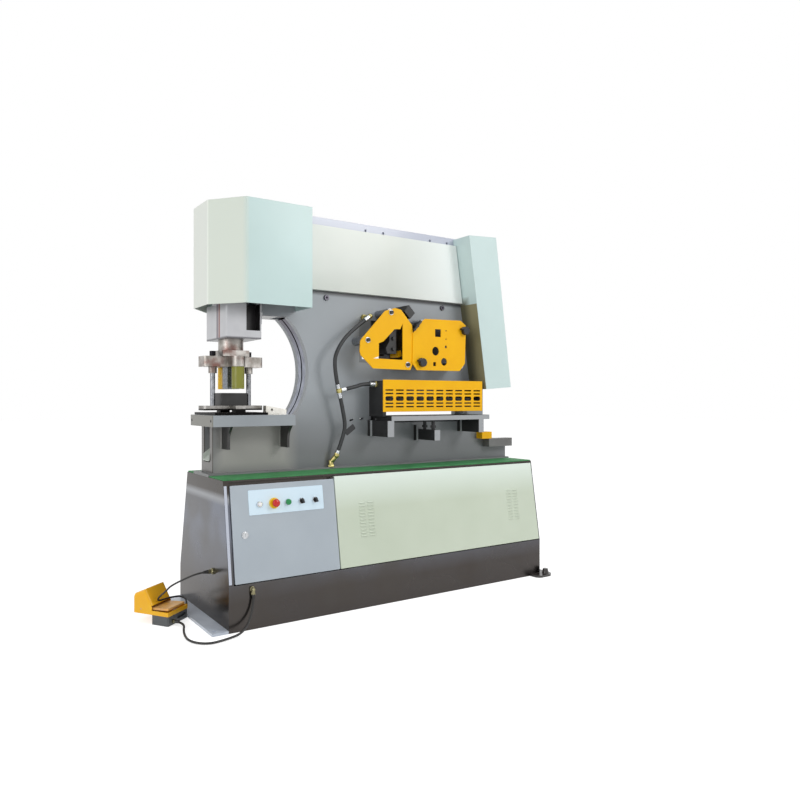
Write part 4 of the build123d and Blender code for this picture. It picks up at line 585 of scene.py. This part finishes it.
def lobed(spot, out, radius, height, lobes, depth, rim):
    """Hand knob with finger lobes round its edge and rounded rims."""
    def draw(form):
        matrix = standing(spot, out)
        sides = lobes * POINTS_TO_A_LOBE
        rings = []
        for inset, level in ((-rim, 0), (0, rim), (0, height - rim), (-rim, height)):
            ring = []
            for step in range(sides):
                angle = 2 * pi * step / sides
                reach = radius + inset - depth * (0.5 - 0.5 * cos(lobes * angle)) ** 3
                ring.append(form.verts.new(matrix @ polar(reach, angle, level)))
            rings.append(ring)
        skin(form, rings)
    return draw


def plate_cut(outline, y, deep):
    """Flat outline of (x, z) drawing points at a drawing y, deep millimetres thick forward."""
    def draw(form):
        skin(form, [[form.verts.new(at(x, y, z) + FORWARD * shift / 1000) for x, z in outline]
                    for shift in (0, deep)])
    return draw


def grip(spot, out, long, wide, high, roll):
    """Straight grip bar lying across the axis, its edges rounded by a fifth of its thin side."""
    def draw(form):
        verts = bmesh.ops.create_cube(form, size=1)["verts"]
        bmesh.ops.scale(form, vec=(long / 1000, wide / 1000, high / 1000), verts=verts)
        bmesh.ops.translate(form, vec=(0, 0, high / 2000), verts=verts)
        edges = list(dict.fromkeys(edge for vert in verts for edge in vert.link_edges))
        rounded = bmesh.ops.bevel(form, geom=edges, offset=min(wide, high) / 5000, segments=3,
                                  affect="EDGES", profile=0.5)["verts"]
        bmesh.ops.transform(form, matrix=standing(spot, out, roll),
                            verts=list(dict.fromkeys(rounded)))
    return draw


# ---- growing rules: what repeats is placed by geometry nodes ----


def rule(name, sockets):
    """Empty node tree with a mesh input, named inputs and a mesh output."""
    tree = bpy.data.node_groups.new(name, "GeometryNodeTree")
    for label, kind in (("Spots", "Geometry"), *sockets, ("Material", "Material")):
        tree.interface.new_socket(label, in_out="INPUT", socket_type="NodeSocket" + kind)
    tree.interface.new_socket("Mesh", in_out="OUTPUT", socket_type="NodeSocketGeometry")
    return tree, add(tree, "NodeGroupInput"), add(tree, "NodeGroupOutput")


def same_piece_on_spots():
    """Puts one unit piece on each spot, turned along the spot's facing."""
    tree, given, result = rule("same piece on spots", [("Unit", "Object"), ("Scale", "Float")])
    facing = add(tree, "GeometryNodeInputNamedAttribute", {"Name": "facing"},
                 data_type="FLOAT_VECTOR")
    turn = add(tree, "FunctionNodeAlignRotationToVector", {"Vector": facing.outputs[0]}, axis="Z")
    unit = add(tree, "GeometryNodeObjectInfo", {"Object": given.outputs["Unit"]})
    points = add(tree, "GeometryNodeMeshToPoints", {"Mesh": given.outputs["Spots"]})
    put = add(tree, "GeometryNodeInstanceOnPoints",
              {"Points": points.outputs[0], "Instance": unit.outputs["Geometry"],
               "Rotation": turn.outputs[0], "Scale": given.outputs["Scale"]})
    real = add(tree, "GeometryNodeRealizeInstances", {0: put.outputs[0]})
    coated = add(tree, "GeometryNodeSetMaterial",
                 {"Geometry": real.outputs[0], "Material": given.outputs["Material"]})
    tree.links.new(coated.outputs[0], result.inputs[0])
    return tree


def weld_along_a_seam():
    """Scalloped weld bead: overlapping drops every ripple pitch along a seam."""
    tree, given, result = rule("weld along a seam", [("Ripple pitch", "Float"),
                                                     ("Bead radius", "Float")])
    seam = add(tree, "GeometryNodeMeshToCurve", {0: given.outputs["Spots"]})
    steps = add(tree, "GeometryNodeResampleCurve",
                {"Curve": seam.outputs[0], "Length": given.outputs["Ripple pitch"]},
                mode="LENGTH")
    drop = add(tree, "GeometryNodeMeshUVSphere",
               {"Segments": 10, "Rings": 6, "Radius": given.outputs["Bead radius"]})
    size = add(tree, "FunctionNodeRandomValue",
               {0: (0.8, 0.8, 0.8), 1: (1.1, 1.1, 1.1), "Seed": 4}, data_type="FLOAT_VECTOR")
    put = add(tree, "GeometryNodeInstanceOnPoints",
              {"Points": steps.outputs[0], "Instance": drop.outputs[0],
               "Scale": size.outputs[0]})
    real = add(tree, "GeometryNodeRealizeInstances", {0: put.outputs[0]})
    round_off = add(tree, "GeometryNodeSetShadeSmooth", {"Geometry": real.outputs[0]})
    coated = add(tree, "GeometryNodeSetMaterial",
                 {"Geometry": round_off.outputs[0], "Material": given.outputs["Material"]})
    tree.links.new(coated.outputs[0], result.inputs[0])
    return tree


def grown(name, spots, edges, facings, tree, values, material, body, node=None):
    """Runs a rule on spots and keeps the result as one plain mesh."""
    seed_mesh = bpy.data.meshes.new(name)
    seed_mesh.from_pydata([tuple(spot) for spot in spots], edges, [])
    if facings:
        facing = seed_mesh.attributes.new("facing", "FLOAT_VECTOR", "POINT")
        facing.data.foreach_set("vector", [part for out in facings for part in out])
    holder = shown(bpy.data.objects.new(name, seed_mesh))
    modifier = holder.modifiers.new("rule", "NODES")
    modifier.node_group = tree
    sockets = {item.name: item.identifier for item in tree.interface.items_tree
               if item.in_out == "INPUT"}
    for label, value in {**values, "Material": material}.items():
        modifier[sockets[label]] = value
    ready = holder.evaluated_get(bpy.context.evaluated_depsgraph_get())
    mesh = bpy.data.meshes.new_from_object(ready)
    holder.modifiers.clear()
    bpy.data.objects.remove(holder)
    joined(name, mesh, material, body, node)


on_spots = same_piece_on_spots()
weld_bead = weld_along_a_seam()


def repeated(name, shapes, spots, facing, material, body, node=None):
    """The same unit piece on every spot; the unit is drawn at the origin along Z."""
    unit = shown(bpy.data.objects.new(name + "_unit", made(name + "_unit", shapes)))
    grown(name, spots, [], [facing] * len(spots), on_spots, {"Unit": unit, "Scale": 1.0},
          material, body, node)
    bpy.data.objects.remove(unit)


# ---- guards: spacers, washers, socket screws, clamp and knobs ----

SPACER_R = 22
BLOCK_ROD_R = 14
# Spacers behind the guards: three end under a screw, the others reach 5 mm further.
SCREWED_LONG = 110
HELD_LONG = 115
GUARD_THICK = 5
WASHER_THICK = 4
screw_spots = [(973, 1453), (826, 1303), (1082, 1184)]
knob_spots = {"upper": (1475, 1382), "lower": (1170, 1197)}
inner_spots = [(1188, 1408), (1455, 1190)]
long_spacers = [(spot, SCREWED_LONG) for spot in screw_spots]
long_spacers += [(spot, HELD_LONG) for spot in [*knob_spots.values(), *inner_spots]]
piece("guard_spacers",
      [turned(at(x, PLATE_Y, z), FORWARD, bar(SPACER_R, long), sides=40)
       for (x, z), long in long_spacers], post_steel, "base", "guard_posts")
piece("angle_clamp_block",
      [plate_cut([(1062, 1464), (1100, 1428), (1132, 1460), (1092, 1500)], PLATE_Y, 114),
       turned(at(1137, PLATE_Y, 1392), FORWARD, bar(BLOCK_ROD_R, 99.5))],
      black_oxide, "base", "guard_posts")
repeated("lifting_bosses",
         [turned(ORIGIN, UP, [(14, 0), (14, 7.5), (12.5, 9), (6, 9), (5, 8), (5, 0.5)])],
         [at(647, PLATE_Y, 1519), at(1418, PLATE_Y, 1520)], FORWARD,
         machined_steel, "base", "guard_posts")
repeated("guard_washers",
         [turned(ORIGIN, UP, [(15, 0), (15, 3.2), (14.2, 4), (9.8, 4), (9.8, 3)])],
         [at(x, GUARD_Y - GUARD_THICK, z) for x, z in screw_spots], FORWARD,
         ground_steel, "base", "guard_posts")
# Socket screw: a round head with a six sided socket sunk in it.
repeated("guard_screws",
         [turned(ORIGIN, UP, [(9.5, 0), (9.5, 7.2), (8.9, 8), (5.4, 8), (5.4, 7.8)], sides=36),
          turned(Vector((0, 0, 0.0079)), UP, [(5.2, 0), (5.2, -4.5), (0, -6)], sides=6)],
         [at(x, GUARD_Y - GUARD_THICK - WASHER_THICK, z) for x, z in screw_spots], FORWARD,
         black_oxide, "base", "guard_posts")

# Clamp and stop behind the angle guard's window.
clamp_outline = [(1030, 1241), (1030, 1368), (1095, 1436), (1070, 1460), (985, 1376),
                 (985, 1306), (962, 1270), (972, 1241)]
clamp_screws = [(1008, 1266), (1009, 1322), (1040, 1408)]
piece("angle_clamp",
      [plate_cut(clamp_outline, 252, 72)]
      + [turned(at(x, 180, z), FORWARD, [(11, 0), (11, 9), (10, 10.5), (0, 10.5)], 6, roll=0.3)
         for x, z in clamp_screws], black_oxide, "base")
piece("angle_stop",
      [plate_cut([(1053, 1224), (1078, 1232), (1070, 1262), (1053, 1256)], PLATE_Y, 70)],
      guard_enamel, "base")

# Each knob: a lobed disc with a short lever beside its middle, on a stud through the guard.
for label, lever_x, lever_z, lever_turn in (("upper", -22, 12, -150), ("lower", -20, 14, -145)):
    x, z = knob_spots[label]
    piece("guard_knob_" + label,
          [lobed(at(x, GUARD_Y - 10, z), FORWARD, radius=23, height=24, lobes=8, depth=2.2,
                 rim=2.5),
           grip(at(x + lever_x, GUARD_Y - 12, z + lever_z), FORWARD, long=26, wide=9, high=20,
                roll=radians(lever_turn))],
          moulded_black, "knob_" + label, "clamp_knob_" + label)
    piece("knob_stud_" + label,
          [turned(at(x, GUARD_Y + 40, z), FORWARD, [(8, 0), (8, 51)], sides=28)],
          ground_steel, "knob_" + label, "clamp_knob_" + label)

# ---- controls on the door ----

# Height of the row up the slope, and each control's place along it.
ROW = up_slope(533)
LAMP_U = 167
STOP_U = 239
START_U = 310
SELECTOR_U = {"left": 380, "right": 452}
repeated("control_bezels",
         [turned(ORIGIN, UP, [(14.5, 0), (14.5, 2.5), (13.4, 6.4), (12.6, 7), (10.6, 7),
                              (9.6, 6), (9.6, 1)], sides=40)],
         [on_door(u, ROW, 2) for u in (LAMP_U, START_U, *SELECTOR_U.values())], DOOR_OUT,
         ground_steel, "door", "lamp_and_bezels")
piece("power_lamp_lens",
      [turned(on_door(LAMP_U, ROW, 2), DOOR_OUT,
              [(9.5, 0), (9.5, 7.6), (9.2, 9.4), (7.6, 10.6), (4.5, 11), (0, 11.2)], sides=40)],
      lamp_white, "door", "lamp_and_bezels")
piece("stop_mushroom",
      [turned(on_door(STOP_U, ROW, -14), DOOR_OUT, [(9, 0), (9, 33), (0, 33)], sides=40),
       turned(on_door(STOP_U, ROW, 21), DOOR_OUT,
              [(13, 0), (16.6, 0.8), (17.6, 2.4), (17.6, 6.5), (16.8, 10.5), (14.6, 13.4),
               (10.8, 15.2), (5, 15.9), (0, 16)], sides=48)],
      button_red, "estop", "estop_button")
piece("start_push",
      [turned(on_door(START_U, ROW, -12), DOOR_OUT,
              [(9, 0), (9, 20.5), (13.6, 20.7), (13.6, 25.2), (12.6, 26.6), (10.4, 27),
               (0, 27)], sides=40)],
      button_green, "start", "start_button")
for label, body in (("left", "selector_a"), ("right", "selector_b")):
    u = SELECTOR_U[label]
    piece("selector_grip_" + label,
          [turned(on_door(u, ROW, -12), DOOR_OUT,
                  [(9, 0), (9, 21), (12.5, 21.2), (12.5, 24), (11.8, 24.8), (0, 24.8)],
                  sides=40),
           grip(on_door(u, ROW, 12.4), DOOR_OUT, long=24, wide=8, high=12.4,
                roll=radians(-60))],
          moulded_black, body, "selector_" + label)

# ---- hydraulic fittings ----

upper_elbow = at(876, 201, 1432)
tee = at(679, 193.5, 1045.5)
lower_elbow = at(683, 223, 716)
base_port = at(665, 245, 657)
base_neck = base_port + UP * 0.026
branch_port = at(915, 200, 1080)
# Control points of the three hoses, from fitting to fitting.
shear_hose = [upper_elbow, at(752, 190, 1352), at(672, 183, 1268), at(636, 180, 1175), tee]
base_hose = [tee, at(713, 202, 930), at(726, 206, 862), at(712, 214, 795), lower_elbow]
holddown_hose = [tee, at(775, 194, 1063), at(832, 197, 1082), branch_port]

# Each hose end: a crimped sleeve with ridges behind a six sided nut, long millimetres in all.
RIDGE_PITCH = 4.6
hose_ends = [(upper_elbow, shear_hose[1], 45), (tee, shear_hose[3], 34), (tee, base_hose[1], 39),
             (tee, holddown_hose[1], 40), (branch_port, holddown_hose[2], 46),
             (lower_elbow, base_hose[3], 27)]
sleeves = []
nuts = []
for start, toward, long in hose_ends:
    out = (toward - start).normalized()
    ridges = []
    height = 12
    while height < long - 3:
        ridges += [(12.6, height), (12.6, height + 2.2), (11.4, height + 3), (11.4, height + 4)]
        height += RIDGE_PITCH
    sleeves.append(turned(start, out,
                          [(8, 4), (8, 11), *ridges, (12.2, long), (10.4, long)]))
    nuts.append(turned(start, out, [(12.6, 3), (13.6, 4.4), (13.6, 10.6), (12.6, 12)], sides=6))
piece("hose_crimps", sleeves, ground_steel, "base", "fittings")

# Round bodies of the elbows and the tee, with the stubs and nuts that lead into the machine.
BALL_R = 14
ball = [(0, 0), (5, 0.9), (9.6, 3.8), (12.8, 8.2), (BALL_R, BALL_R), (12.8, 19.8), (9.6, 24.2),
        (5, 27.1), (0, 2 * BALL_R)]
stubs = [turned(upper_elbow, BACKWARD, [(11, 0), (11, 50), (9, 51), (9, 63)]),
         turned(at(876, PLATE_Y, 1432), FORWARD, nut(17, 14, 1.2, 2), sides=6),
         turned(lower_elbow, base_neck - lower_elbow,
                [(11.5, 0), (11.5, 12), (12.2, 13), (12.2, 42)]),
         turned(base_port, UP, nut(17, 12, 1.2, 1.5), sides=6),
         turned(base_port, UP, [(13, 10), (13, 32), (12, 34)]),
         turned(branch_port, LEFTWARD, nut(16, 12, 1.2, 1.5), sides=6)]
balls = [turned(centre - UP * (BALL_R / 1000), UP, ball, sides=28)
         for centre in (upper_elbow, tee, lower_elbow)]
piece("hose_elbows", nuts + stubs + balls, zinc_plate, "base", "fittings")

# ---- cable glands: the floor cable leaves the front, the air cable the left side ----

floor_exit, floor_drop = at(110, -12, 158), at(110, -14, 92)
floor_end, floor_lead = on_pedal(35, -12, 16), on_pedal(35, -62, 16)
side_gland = at(0, 176, 230)
air_exit, air_run = at(-24, 176, 230), at(-76, 176, 230)
air_end, air_lead = on_pedal(162, 21, 46), on_pedal(194, 32, 62)
piece("cable_glands",
      [turned(at(110, 0, 177), FORWARD, [(11, 0), (11, 4), (9, 5), (9, 15), (6, 20), (0, 21)]),
       turned(floor_exit - UP * 0.002, floor_exit - floor_drop, nut(9.6, 9, 0.6, 1), sides=6),
       turned(floor_exit, floor_exit - floor_drop, [(8, 8), (8, 18)]),
       turned(side_gland, LEFTWARD, nut(15, 9, 1.2, 1.4), sides=6),
       turned(side_gland, LEFTWARD, [(10.5, 8), (10.5, 11), (9.4, 12), (9.4, 24)]),
       turned(floor_end, floor_end - floor_lead, [(8.6, 0), (8.6, 12)]),
       turned(air_end, (air_end - air_lead).normalized(), [(7.6, 0), (7.6, 20)])],
      gland_brass, "base", "fittings")
# Tapered boots over both ends of both cables.
piece("strain_reliefs",
      [turned(floor_exit + UP * 0.001, floor_drop - floor_exit,
              [(8.6, 0), (8.2, 4), (6.2, 24), (5.3, 25)]),
       turned(air_exit, LEFTWARD, [(8.6, -1), (8.2, 4), (5.4, 24), (4.4, 25)]),
       turned(floor_end, floor_lead - floor_end, [(8.2, -1), (7.8, 3), (6.2, 20), (5.3, 21)]),
       turned(air_end, air_lead - air_end, [(7.2, -1), (6.8, 3), (5, 18), (4.3, 19)])],
      cable_black, "base", "fittings")

# ---- weld beads on the frame: along the table, its gussets and the support brackets ----

WELD_Y = PLATE_Y - 1
TABLE_Z = 875
seams = [(at(32, WELD_Y, TABLE_Z), at(400, WELD_Y, TABLE_Z))]
seams += [(at(x, WELD_Y, TABLE_Z), at(x, WELD_Y, 772)) for x in (75, 87, 383, 395)]
seams += [(at(x, WELD_Y, top), at(x, WELD_Y, low))
          for pair, top, low in (((915, 956), 888, 810), ((1225, 1263), 836, 783),
                                 ((1545, 1581), 888, 820)) for x in pair]
grown("weld_beads", [end for seam in seams for end in seam],
      [(2 * seam, 2 * seam + 1) for seam in range(len(seams))], [], weld_bead,
      {"Ripple pitch": 0.0032, "Bead radius": 0.0034}, frame_enamel, "base")

# ---- pressed louvre hoods on the front panel ----

HOOD_LONG = 0.038
HOOD_LIFT = 0.0034
SHEET_THICK = 0.0008


def hood(form):
    """One pressed louvre: a long low hood over its slot, open at the bottom."""
    along_steps = 12
    rows = []
    for step in range(along_steps + 1):
        share = step / along_steps
        x = (share - 0.5) * HOOD_LONG
        lift = HOOD_LIFT * (1 - (2 * share - 1) ** 6)
        section = ((0.0035, 0.0), (0.0028, lift * 0.6), (0.0005, lift), (-0.0028, lift * 1.05),
                   (-0.0028, lift * 1.05 - SHEET_THICK), (0.0025, -0.0004))
        rows.append([form.verts.new((x, up, out)) for up, out in section])
    skin(form, rows)


# Two fields of two columns with eleven hoods each, from the middle of each field.
louvre_spots = [on_door(field_u + column, up_slope(field_z) + 16 * line, 0.1)
                for field_u, field_z in ((740, 420), (1735, 411))
                for column in (-24.5, 24.5) for line in range(-5, 6)]
repeated("louvre_hoods", [hood], louvre_spots, DOOR_OUT, panel_coat, "base")

# ---- hoses and pedal cables: one smooth line each, on the same routes as the solids ----

HOSE_R = 0.010
FLOOR_CABLE_R = 0.005
AIR_CABLE_R = 0.004


def smooth_line(name, route, radius, material, node):
    """Round line through its route, riding on the machine in place of one solid."""
    curve = bpy.data.curves.new(name, "CURVE")
    curve.dimensions = "3D"
    curve.bevel_depth = radius
    curve.bevel_resolution = 5
    curve.resolution_u = 10
    line = curve.splines.new("NURBS")
    line.points.add(len(route) - 1)
    for point, place in zip(line.points, route):
        point.co = (*place, 1)
    line.order_u = 3
    line.use_endpoint_u = True
    return joined(name, curve, material, "base", node)


for label, route in (("hose_to_the_shear", shear_hose), ("hose_to_the_base", base_hose),
                     ("hose_to_the_holddown", holddown_hose)):
    smooth_line(label, route, HOSE_R, hose_rubber, "hydraulic_hoses")


# Tag: where its round corners are centred from its middle, their radius, and its thickness.
CORNER_X = 27
CORNER_Z = 10
CORNER_R = 5
TAG_THICK = 0.0012


def tag(form):
    """Thin card with round corners, tied beside the lower hose."""
    middle = at(750, 198.5, 846)
    tilt = Matrix.Rotation(radians(-35), 3, "Y")
    rim = []
    for side_x, side_z, start in ((1, 1, 0), (-1, 1, 90), (-1, -1, 180), (1, -1, 270)):
        for step in range(5):
            angle = radians(start + 22.5 * step)
            rim.append((side_x * CORNER_X + CORNER_R * cos(angle),
                        side_z * CORNER_Z + CORNER_R * sin(angle)))
    skin(form, [[form.verts.new(middle + tilt @ Vector((x / 1000, deep, z / 1000)))
                 for x, z in rim] for deep in (0.0, TAG_THICK)])


piece("hose_tag", [tag, turned(at(735, 197.5, 838), BACKWARD, [(4, 0), (4, 3), (2.2, 3.4)], 24)],
      moulded_black, "base", "hydraulic_hoses")


def cable(name, route, radius, node):
    """Free cord of the foot switch."""
    smooth_line(name, route, radius, cable_black, node)


# The floor cable drops to the floor and runs round to the front of the foot switch.
floor_route = [floor_exit, floor_drop, at(56, -40, 9), at(-40, -72, 6.5), at(-128, -84, 6.5),
               at(-184, -14, 6.5), at(-168, 96, 6.5), floor_lead, floor_end]
# The air cable hangs to the hood of the foot switch and lies on it before it goes in.
air_route = [air_exit, air_run, at(-134, 214, 198), at(-176, 250, 168), on_pedal(40, 41, 142),
             on_pedal(23, 67, 118), on_pedal(35, 84, 97), on_pedal(66, 84, 91),
             on_pedal(107, 79, 90), on_pedal(156, 78, 83), on_pedal(190, 65, 78), air_lead,
             air_end]
cable("pedal_cord_floor", floor_route, FLOOR_CABLE_R, "pedal_cable_a")
cable("pedal_cord_air", air_route, AIR_CABLE_R, "pedal_cable_b")

# ---- camera: 1 m above the floor, level, turned to the right ----

camera = bpy.data.cameras.new("camera")
camera.lens = 30.04
camera.shift_x = 0.102
camera.shift_y = -0.0006
camera.clip_end = 60
view = shown(bpy.data.objects.new("camera", camera))
view.location = (-2.0697, -2.9519, 1.0)
view.rotation_euler = (pi / 2, 0, -0.536)
bpy.context.scene.camera = view
bpy.context.scene.view_settings.view_transform = "Standard"

# ---- studio: white around, a floor that keeps the shadow, three soft lamps ----

SKY_LEVEL = 0.55
FLOOR_LEVEL = 0.62
FLOOR_SIZE = 30


def seen_directly(tree):
    """1 for rays that show the background: camera, glossy and transmission."""
    rays = add(tree, "ShaderNodeLightPath")
    first = add(tree, "ShaderNodeMath",
                {0: rays.outputs["Is Camera Ray"], 1: rays.outputs["Is Glossy Ray"]},
                operation="MAXIMUM")
    return add(tree, "ShaderNodeMath",
               {0: first.outputs[0], 1: rays.outputs["Is Transmission Ray"]},
               operation="MAXIMUM").outputs[0]


world = bpy.data.worlds.new("studio")
world.use_nodes = True
bpy.context.scene.world = world
sky = world.node_tree
sky.nodes.clear()
soft = add(sky, "ShaderNodeBackground", {"Color": (1, 1, 1, 1), "Strength": SKY_LEVEL})
white = add(sky, "ShaderNodeBackground", {"Color": (1, 1, 1, 1), "Strength": 1.0})
choice = add(sky, "ShaderNodeMixShader",
             {0: seen_directly(sky), 1: soft.outputs[0], 2: white.outputs[0]})
add(sky, "ShaderNodeOutputWorld", {"Surface": choice.outputs[0]})

floor_paint = bpy.data.materials.new("white studio floor")
floor_paint.use_nodes = True
ground = floor_paint.node_tree
ground.nodes.clear()
matt = add(ground, "ShaderNodeBsdfDiffuse", {"Color": (0.8, 0.8, 0.8, 1)})
glow = add(ground, "ShaderNodeEmission", {"Color": (1, 1, 1, 1), "Strength": FLOOR_LEVEL})
dark = add(ground, "ShaderNodeEmission", {"Color": (0, 0, 0, 1), "Strength": 0.0})
lit = add(ground, "ShaderNodeMixShader",
          {0: seen_directly(ground), 1: dark.outputs[0], 2: glow.outputs[0]})
both = add(ground, "ShaderNodeAddShader", {0: matt.outputs[0], 1: lit.outputs[0]})
add(ground, "ShaderNodeOutputMaterial", {"Surface": both.outputs[0]})


def lay_floor(form):
    """Flat square just under the machine's feet."""
    bmesh.ops.create_grid(form, x_segments=1, y_segments=1, size=FLOOR_SIZE,
                          matrix=Matrix.Translation((0, 0, -0.001)))


floor_mesh = made("floor", [lay_floor])
floor_mesh.materials.append(floor_paint)
shown(bpy.data.objects.new("floor", floor_mesh))


def lamp(name, place, aim, size, power):
    """Round soft lamp: its place and aim in metres, its size and its power in watts."""
    light = bpy.data.lights.new(name, "AREA")
    light.shape = "DISK"
    light.size = size
    light.energy = power
    thing = shown(bpy.data.objects.new(name, light))
    thing.location = place
    thing.rotation_euler = (Vector(aim) - Vector(place)).to_track_quat("-Z", "Y").to_euler()


lamp("key", (2.6, -4.6, 3.6), (0, 0, 0.9), 2.0, 95)
lamp("left fill", (-5.0, -1.8, 2.4), (0, 0, 0.9), 3.0, 65)
lamp("top", (0.2, -0.6, 5.2), (0, 0, 1.0), 3.0, 40)
